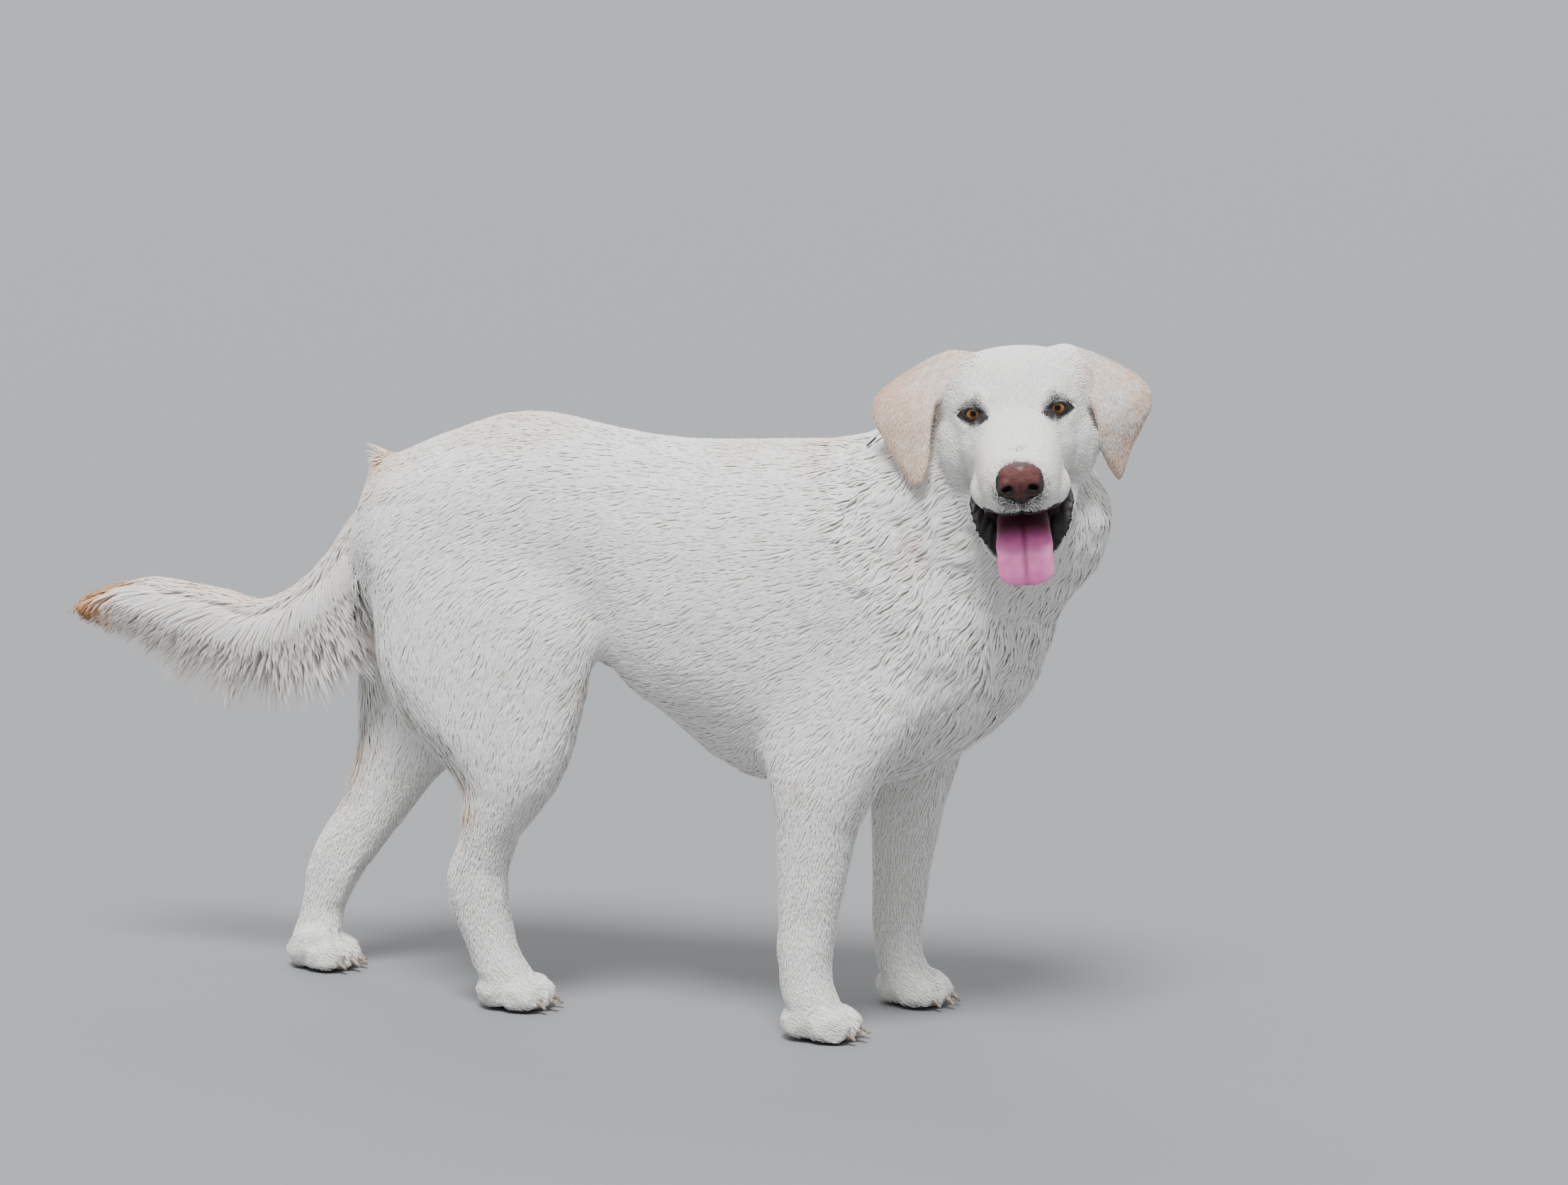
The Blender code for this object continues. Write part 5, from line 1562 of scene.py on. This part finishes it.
def add_collar(finish):
    """The woven band, smoothed from its CAD form and drawn in under the hair on the far side."""
    points, tris = welded("collar")
    inward = points.mean(axis=0) - points
    far = step_up(to_body(points)[:, 0], -0.005, 0.015)
    points = points + unit(inward) * (COLLAR_TUCK * far)[:, None]
    piece = add_piece("collar_band", (points, tris), finish, ["collar"])
    piece.data.set_sharp_from_angle(angle=math.radians(50.0))
    modifier = piece.modifiers.new("edge", "BEVEL")
    modifier.width = COLLAR_BEVEL
    modifier.segments = 2


# ---------------------------------------------------------------- finishes


class Finish:
    """A node material built step by step on its Principled shader."""

    def __init__(self, name, roughness, **sockets):
        self.material = bpy.data.materials.new(name)
        self.material.use_nodes = True
        self.nodes = self.material.node_tree.nodes
        self.links = self.material.node_tree.links
        self.shader = self.nodes["Principled BSDF"]
        self.shader.inputs["Roughness"].default_value = roughness
        for socket, value in sockets.items():
            self.shader.inputs[socket.replace("_", " ")].default_value = value

    def set(self, socket, value):
        if isinstance(value, tuple):
            socket.default_value = (*value, 1.0) if len(value) == 3 else value
        elif isinstance(value, (int, float)):
            socket.default_value = value
        else:
            self.links.new(value, socket)

    def number(self, attribute):
        node = self.nodes.new("ShaderNodeAttribute")
        node.attribute_name = attribute
        return node.outputs["Fac"]

    def place(self):
        return self.nodes.new("ShaderNodeTexCoord").outputs["Object"]

    def mixed(self, share, first, second):
        node = self.nodes.new("ShaderNodeMix")
        node.data_type = "RGBA"
        self.set(node.inputs[0], share)
        self.set(node.inputs[6], first)
        self.set(node.inputs[7], second)
        return node.outputs[2]

    def ramp(self, value, low, high, to_low=0.0, to_high=1.0):
        node = self.nodes.new("ShaderNodeMapRange")
        self.set(node.inputs["Value"], value)
        node.inputs["From Min"].default_value = low
        node.inputs["From Max"].default_value = high
        node.inputs["To Min"].default_value = to_low
        node.inputs["To Max"].default_value = to_high
        return node.outputs["Result"]

    def math(self, kind, first, second=0.0):
        node = self.nodes.new("ShaderNodeMath")
        node.operation = kind
        self.set(node.inputs[0], first)
        self.set(node.inputs[1], second)
        return node.outputs[0]

    def noise(self, scale, detail=3.0, where=None):
        node = self.nodes.new("ShaderNodeTexNoise")
        self.set(node.inputs["Vector"], where or self.place())
        node.inputs["Scale"].default_value = scale
        node.inputs["Detail"].default_value = detail
        return node.outputs["Fac"]

    def marked(self, attribute, base, colour):
        """The base, with a colour where the attribute says."""
        return self.mixed(self.number(attribute), base, colour)

    def mottled(self, scale, low, high, first, second):
        """Two colours mixed by noise."""
        return self.mixed(self.ramp(self.noise(scale), low, high), first, second)

    def cells(self, scale):
        node = self.nodes.new("ShaderNodeTexVoronoi")
        self.set(node.inputs["Vector"], self.place())
        node.inputs["Scale"].default_value = scale
        return node.outputs["Distance"]

    def bump(self, height, distance, strength=1.0):
        node = self.nodes.new("ShaderNodeBump")
        self.set(node.inputs["Height"], height)
        node.inputs["Distance"].default_value = distance
        node.inputs["Strength"].default_value = strength
        self.links.new(node.outputs["Normal"], self.shader.inputs["Normal"])

    def colour(self, value):
        self.set(self.shader.inputs["Base Color"], value)


IVORY_LOW = (0.85, 0.82, 0.76)
IVORY_HIGH = (0.94, 0.93, 0.90)
PEACH = (0.78, 0.47, 0.29)
RUST = (0.50, 0.235, 0.105)
PEPPER = (0.030, 0.027, 0.030)


def hair_finish():
    """Ivory hair, peach and grey where marked, painted shade darkening the roots, and each lock's
    own random tone.
    """
    made = Finish("coat_hair", 0.65, Specular_IOR_Level=0.20, Subsurface_Weight=0.35)
    made.shader.inputs["Sheen Weight"].default_value = 0.25
    made.shader.inputs["Sheen Roughness"].default_value = 0.5
    made.shader.inputs["Subsurface Radius"].default_value = (1.0, 0.9, 0.8)
    made.shader.inputs["Subsurface Scale"].default_value = 0.003
    base = made.mixed(made.number("shade"), IVORY_LOW, IVORY_HIGH)
    base = made.marked("tan", base, PEACH)
    base = made.mixed(made.ramp(made.number("tan"), 0.76, 1.0), base, RUST)
    # Grey: dark hairs, partly painted shade round the eyes and under the nose
    base = made.marked("grey", base, PEPPER)
    # Painted shade: toward its root each lock darkens to brown-grey, standing in for the shade
    # among the locks
    deep = made.ramp(made.number("along"), 0.0, 0.5, 0.15, 0.0)
    made.colour(made.mixed(deep, base, (0.60, 0.53, 0.45)))
    return made.material


def skin_finish():
    """The skin under the hair: the same markings with their painted shade, a fine nap, and dark
    mouth and soles.
    """
    made = Finish("skin", 0.75, Specular_IOR_Level=0.20, Sheen_Weight=0.06, Sheen_Roughness=0.5)
    base = made.mottled(220.0, 0.35, 0.65, (0.76, 0.72, 0.66), (0.86, 0.84, 0.80))
    base = made.marked("tan", base, PEACH)
    base = made.mixed(made.ramp(made.number("tan"), 0.76, 1.0), base, RUST)
    speckle = made.ramp(made.noise(900.0, 2.0), 0.42, 0.58, -0.35, 0.35)
    # Grey: peppered skin, partly painted shade round the eyes and under the nose
    grey = made.ramp(made.math("ADD", made.number("grey"), speckle), 0.15, 0.60)
    base = made.mixed(grey, base, (0.020, 0.017, 0.018))
    base = made.marked("mouth", base, (0.030, 0.016, 0.018))
    base = made.marked("sole", base, (0.035, 0.028, 0.028))
    made.colour(base)
    made.bump(made.noise(900.0, 3.0), 0.0006, 0.7)
    return made.material


def eye_finish():
    """Pupil, amber iris with fibres and a dark ring, painted shade from the upper lid over the
    iris's top, and the brown white of the eye.
    """
    made = Finish("eye_glass", 0.16, Specular_IOR_Level=0.15, Coat_Weight=0.5, Coat_Roughness=0.02)
    made.shader.inputs["Coat IOR"].default_value = 1.36
    reach = made.number("reach")
    spoke = made.nodes.new("ShaderNodeCombineXYZ")
    made.set(spoke.inputs[0], made.math("MULTIPLY", made.number("spoke_x"), 6.0))
    made.set(spoke.inputs[1], made.math("MULTIPLY", made.number("spoke_y"), 6.0))
    made.set(spoke.inputs[2], made.math("MULTIPLY", reach, 0.06))
    fibre = made.noise(2.4, 4.0, spoke.outputs[0])
    fibre = made.ramp(fibre, 0.32, 0.68)
    amber = made.mixed(fibre, (0.150, 0.050, 0.010), (0.45, 0.195, 0.047))
    amber = made.mixed(made.ramp(reach, 12.0, 24.0), (0.10, 0.035, 0.010), amber)
    base = made.mixed(made.ramp(reach, 33.0, 42.0), amber, (0.016, 0.009, 0.006))
    base = made.mixed(made.ramp(reach, 47.0, 52.0), base, (0.16, 0.105, 0.085))
    # Painted shade of the upper lid: the iris darkens toward its top
    above = made.ramp(made.math("MULTIPLY", made.number("spoke_y"), reach), -2.0, 26.0, 0.0, 0.85)
    base = made.mixed(above, base, (0.010, 0.006, 0.004))
    pupil = made.ramp(reach, 13.6, 15.4)
    made.colour(made.mixed(pupil, (0.001, 0.001, 0.001), base))
    return made.material


def rim_finish():
    """The black skin of the lips and the lids' edges."""
    made = Finish("dark_rim", 0.46, Specular_IOR_Level=0.28, Coat_Weight=0.05, Coat_Roughness=0.3)
    made.colour(made.mottled(500.0, 0.3, 0.7, (0.006, 0.005, 0.006), (0.020, 0.015, 0.017)))
    made.bump(made.noise(1500.0), 0.0002, 0.6)
    return made.material


def nose_finish():
    """Bare pebbled leather, red-brown with a black edge, and nostrils darkened by painted shade."""
    made = Finish("nose_leather", 0.45, Specular_IOR_Level=0.3, Coat_Weight=0.14)
    made.shader.inputs["Coat Roughness"].default_value = 0.28
    base = made.mottled(120.0, 0.3, 0.7, (0.115, 0.029, 0.023), (0.180, 0.046, 0.037))
    base = made.mixed(made.ramp(made.cells(1150.0), 0.25, 0.75), base, (0.070, 0.020, 0.020))
    base = made.marked("rim", base, (0.022, 0.014, 0.016))
    # Painted shade inside the nostrils
    base = made.marked("hole", base, (0.006, 0.004, 0.004))
    made.colour(base)
    made.bump(made.cells(1150.0), 0.0006, 0.8)
    return made.material


def tongue_finish():
    """Wet pink flesh, with painted shade in the groove and toward the throat."""
    made = Finish("tongue_flesh", 0.34, Coat_Weight=0.45, Coat_Roughness=0.18)
    made.shader.inputs["Subsurface Weight"].default_value = 0.15
    made.shader.inputs["Subsurface Radius"].default_value = (1.0, 0.35, 0.25)
    made.shader.inputs["Subsurface Scale"].default_value = 0.004
    base = made.mottled(90.0, 0.3, 0.7, (0.72, 0.140, 0.400), (0.84, 0.225, 0.510))
    # Painted shade in the groove and toward the throat
    base = made.marked("groove", base, (0.46, 0.100, 0.240))
    base = made.marked("deep", base, (0.10, 0.024, 0.040))
    made.colour(base)
    made.bump(made.cells(1100.0), 0.0005, 0.5)
    return made.material


def claw_finish():
    made = Finish("claw_horn", 0.38, Coat_Weight=0.2, Coat_Roughness=0.3)
    made.colour(made.mottled(260.0, 0.35, 0.65, (0.16, 0.115, 0.085), (0.40, 0.32, 0.25)))
    made.bump(made.noise(900.0), 0.0003, 0.5)
    return made.material


def collar_finish():
    """A flat woven band: fine crossing ribs in near-black blue."""
    made = Finish("collar_weave", 0.72, Specular_IOR_Level=0.3, Sheen_Weight=0.05)
    wave = made.nodes.new("ShaderNodeTexWave")
    made.set(wave.inputs["Vector"], made.place())
    wave.inputs["Scale"].default_value = 320.0
    wave.inputs["Distortion"].default_value = 1.0
    made.colour(made.mixed(wave.outputs["Fac"], (0.008, 0.010, 0.022), (0.035, 0.042, 0.075)))
    made.bump(wave.outputs["Fac"], 0.0004, 0.8)
    return made.material


def floor_finish():
    made = Finish("floor", 0.85, Specular_IOR_Level=0.2)
    made.colour((0.2135, 0.2158, 0.2204))
    return made.material


# ---------------------------------------------------------------- floor, light and camera

# The sky's colour, and its strength at two heights of the view
SKY = (0.93, 0.955, 1.0, 1.0)
SKY_HEIGHTS = (0.10, 0.80)
SKY_STRENGTHS = (0.68, 1.05)
FLOOR_HALF = 60.0

# From the midpoint of the eyes to what the camera looks at
AIM = (0.1100, 0.2829, -0.2152)
CAMERA_AZIMUTH = -72.0
CAMERA_ELEVATION = 9.0
CAMERA_DISTANCE = 5.0
CAMERA_LENS = 108.0


def add_camera():
    data = bpy.data.cameras.new("camera")
    data.lens = CAMERA_LENS
    camera = bpy.data.objects.new("camera", data)
    bpy.context.scene.collection.objects.link(camera)
    back = direction(CAMERA_AZIMUTH, CAMERA_ELEVATION)
    camera.location = Vector(EYES) + Vector(AIM) + back * CAMERA_DISTANCE
    camera.rotation_euler = back.to_track_quat("Z", "Y").to_euler()
    bpy.context.scene.camera = camera


def add_sun(name, azimuth, elevation, spread, strength, colour):
    data = bpy.data.lights.new(name, "SUN")
    data.angle = math.radians(spread)
    data.energy = strength
    data.color = colour
    light = bpy.data.objects.new(name, data)
    bpy.context.scene.collection.objects.link(light)
    light.rotation_euler = direction(azimuth, elevation).to_track_quat("Z", "Y").to_euler()


def add_stage():
    """A wide pale floor that meets an equally pale sky, with soft light from above."""
    corners = FLOOR_HALF * np.array([(-1, -1, 0), (1, -1, 0), (1, 1, 0), (-1, 1, 0)])
    floor = new_object("floor", corners, np.array([(0, 1, 2), (0, 2, 3)]))
    floor.data.materials.append(floor_finish())
    world = bpy.data.worlds.new("studio")
    bpy.context.scene.world = world
    world.use_nodes = True
    nodes, links = world.node_tree.nodes, world.node_tree.links
    sky = nodes["Background"]
    sky.inputs["Color"].default_value = SKY
    parts = nodes.new("ShaderNodeSeparateXYZ")
    links.new(nodes.new("ShaderNodeTexCoord").outputs["Generated"], parts.inputs[0])
    rise = nodes.new("ShaderNodeMapRange")
    links.new(parts.outputs["Z"], rise.inputs["Value"])
    rise.inputs["From Min"].default_value, rise.inputs["From Max"].default_value = SKY_HEIGHTS
    rise.inputs["To Min"].default_value, rise.inputs["To Max"].default_value = SKY_STRENGTHS
    links.new(rise.outputs["Result"], sky.inputs["Strength"])
    add_sun("key", -80.0, 62.0, 20.0, 5.6, (0.98, 0.99, 1.0))
    add_sun("back", 118.0, 48.0, 30.0, 0.8, (1.0, 0.97, 0.92))


def build():
    add_camera()
    add_stage()
    skin = Skin()
    skin.shrink_to_flesh()
    skin.sculpt_face()
    skin.part_toes()
    skin.carve_eyes()
    skin.finish_fields()
    piece = new_object("skin", skin.points, skin.tris)
    piece.data.materials.append(skin_finish())
    add_numbers(piece, {"tan": skin.tan, "grey": skin.grey, "mouth": skin.mouth, "sole": skin.sole})
    skin.unwrap(piece)
    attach(piece, "root")
    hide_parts(*FLESH)
    add_coat(skin, hair_finish())
    eye, rim = eye_finish(), rim_finish()
    add_eye("left", 1.0, eye, rim)
    add_eye("right", -1.0, eye, rim)
    add_nose(nose_finish())
    add_tongue(tongue_finish())
    add_lips(rim)
    add_upper_lip(skin, rim)
    add_claws(claw_finish())
    add_collar(collar_finish())


build()
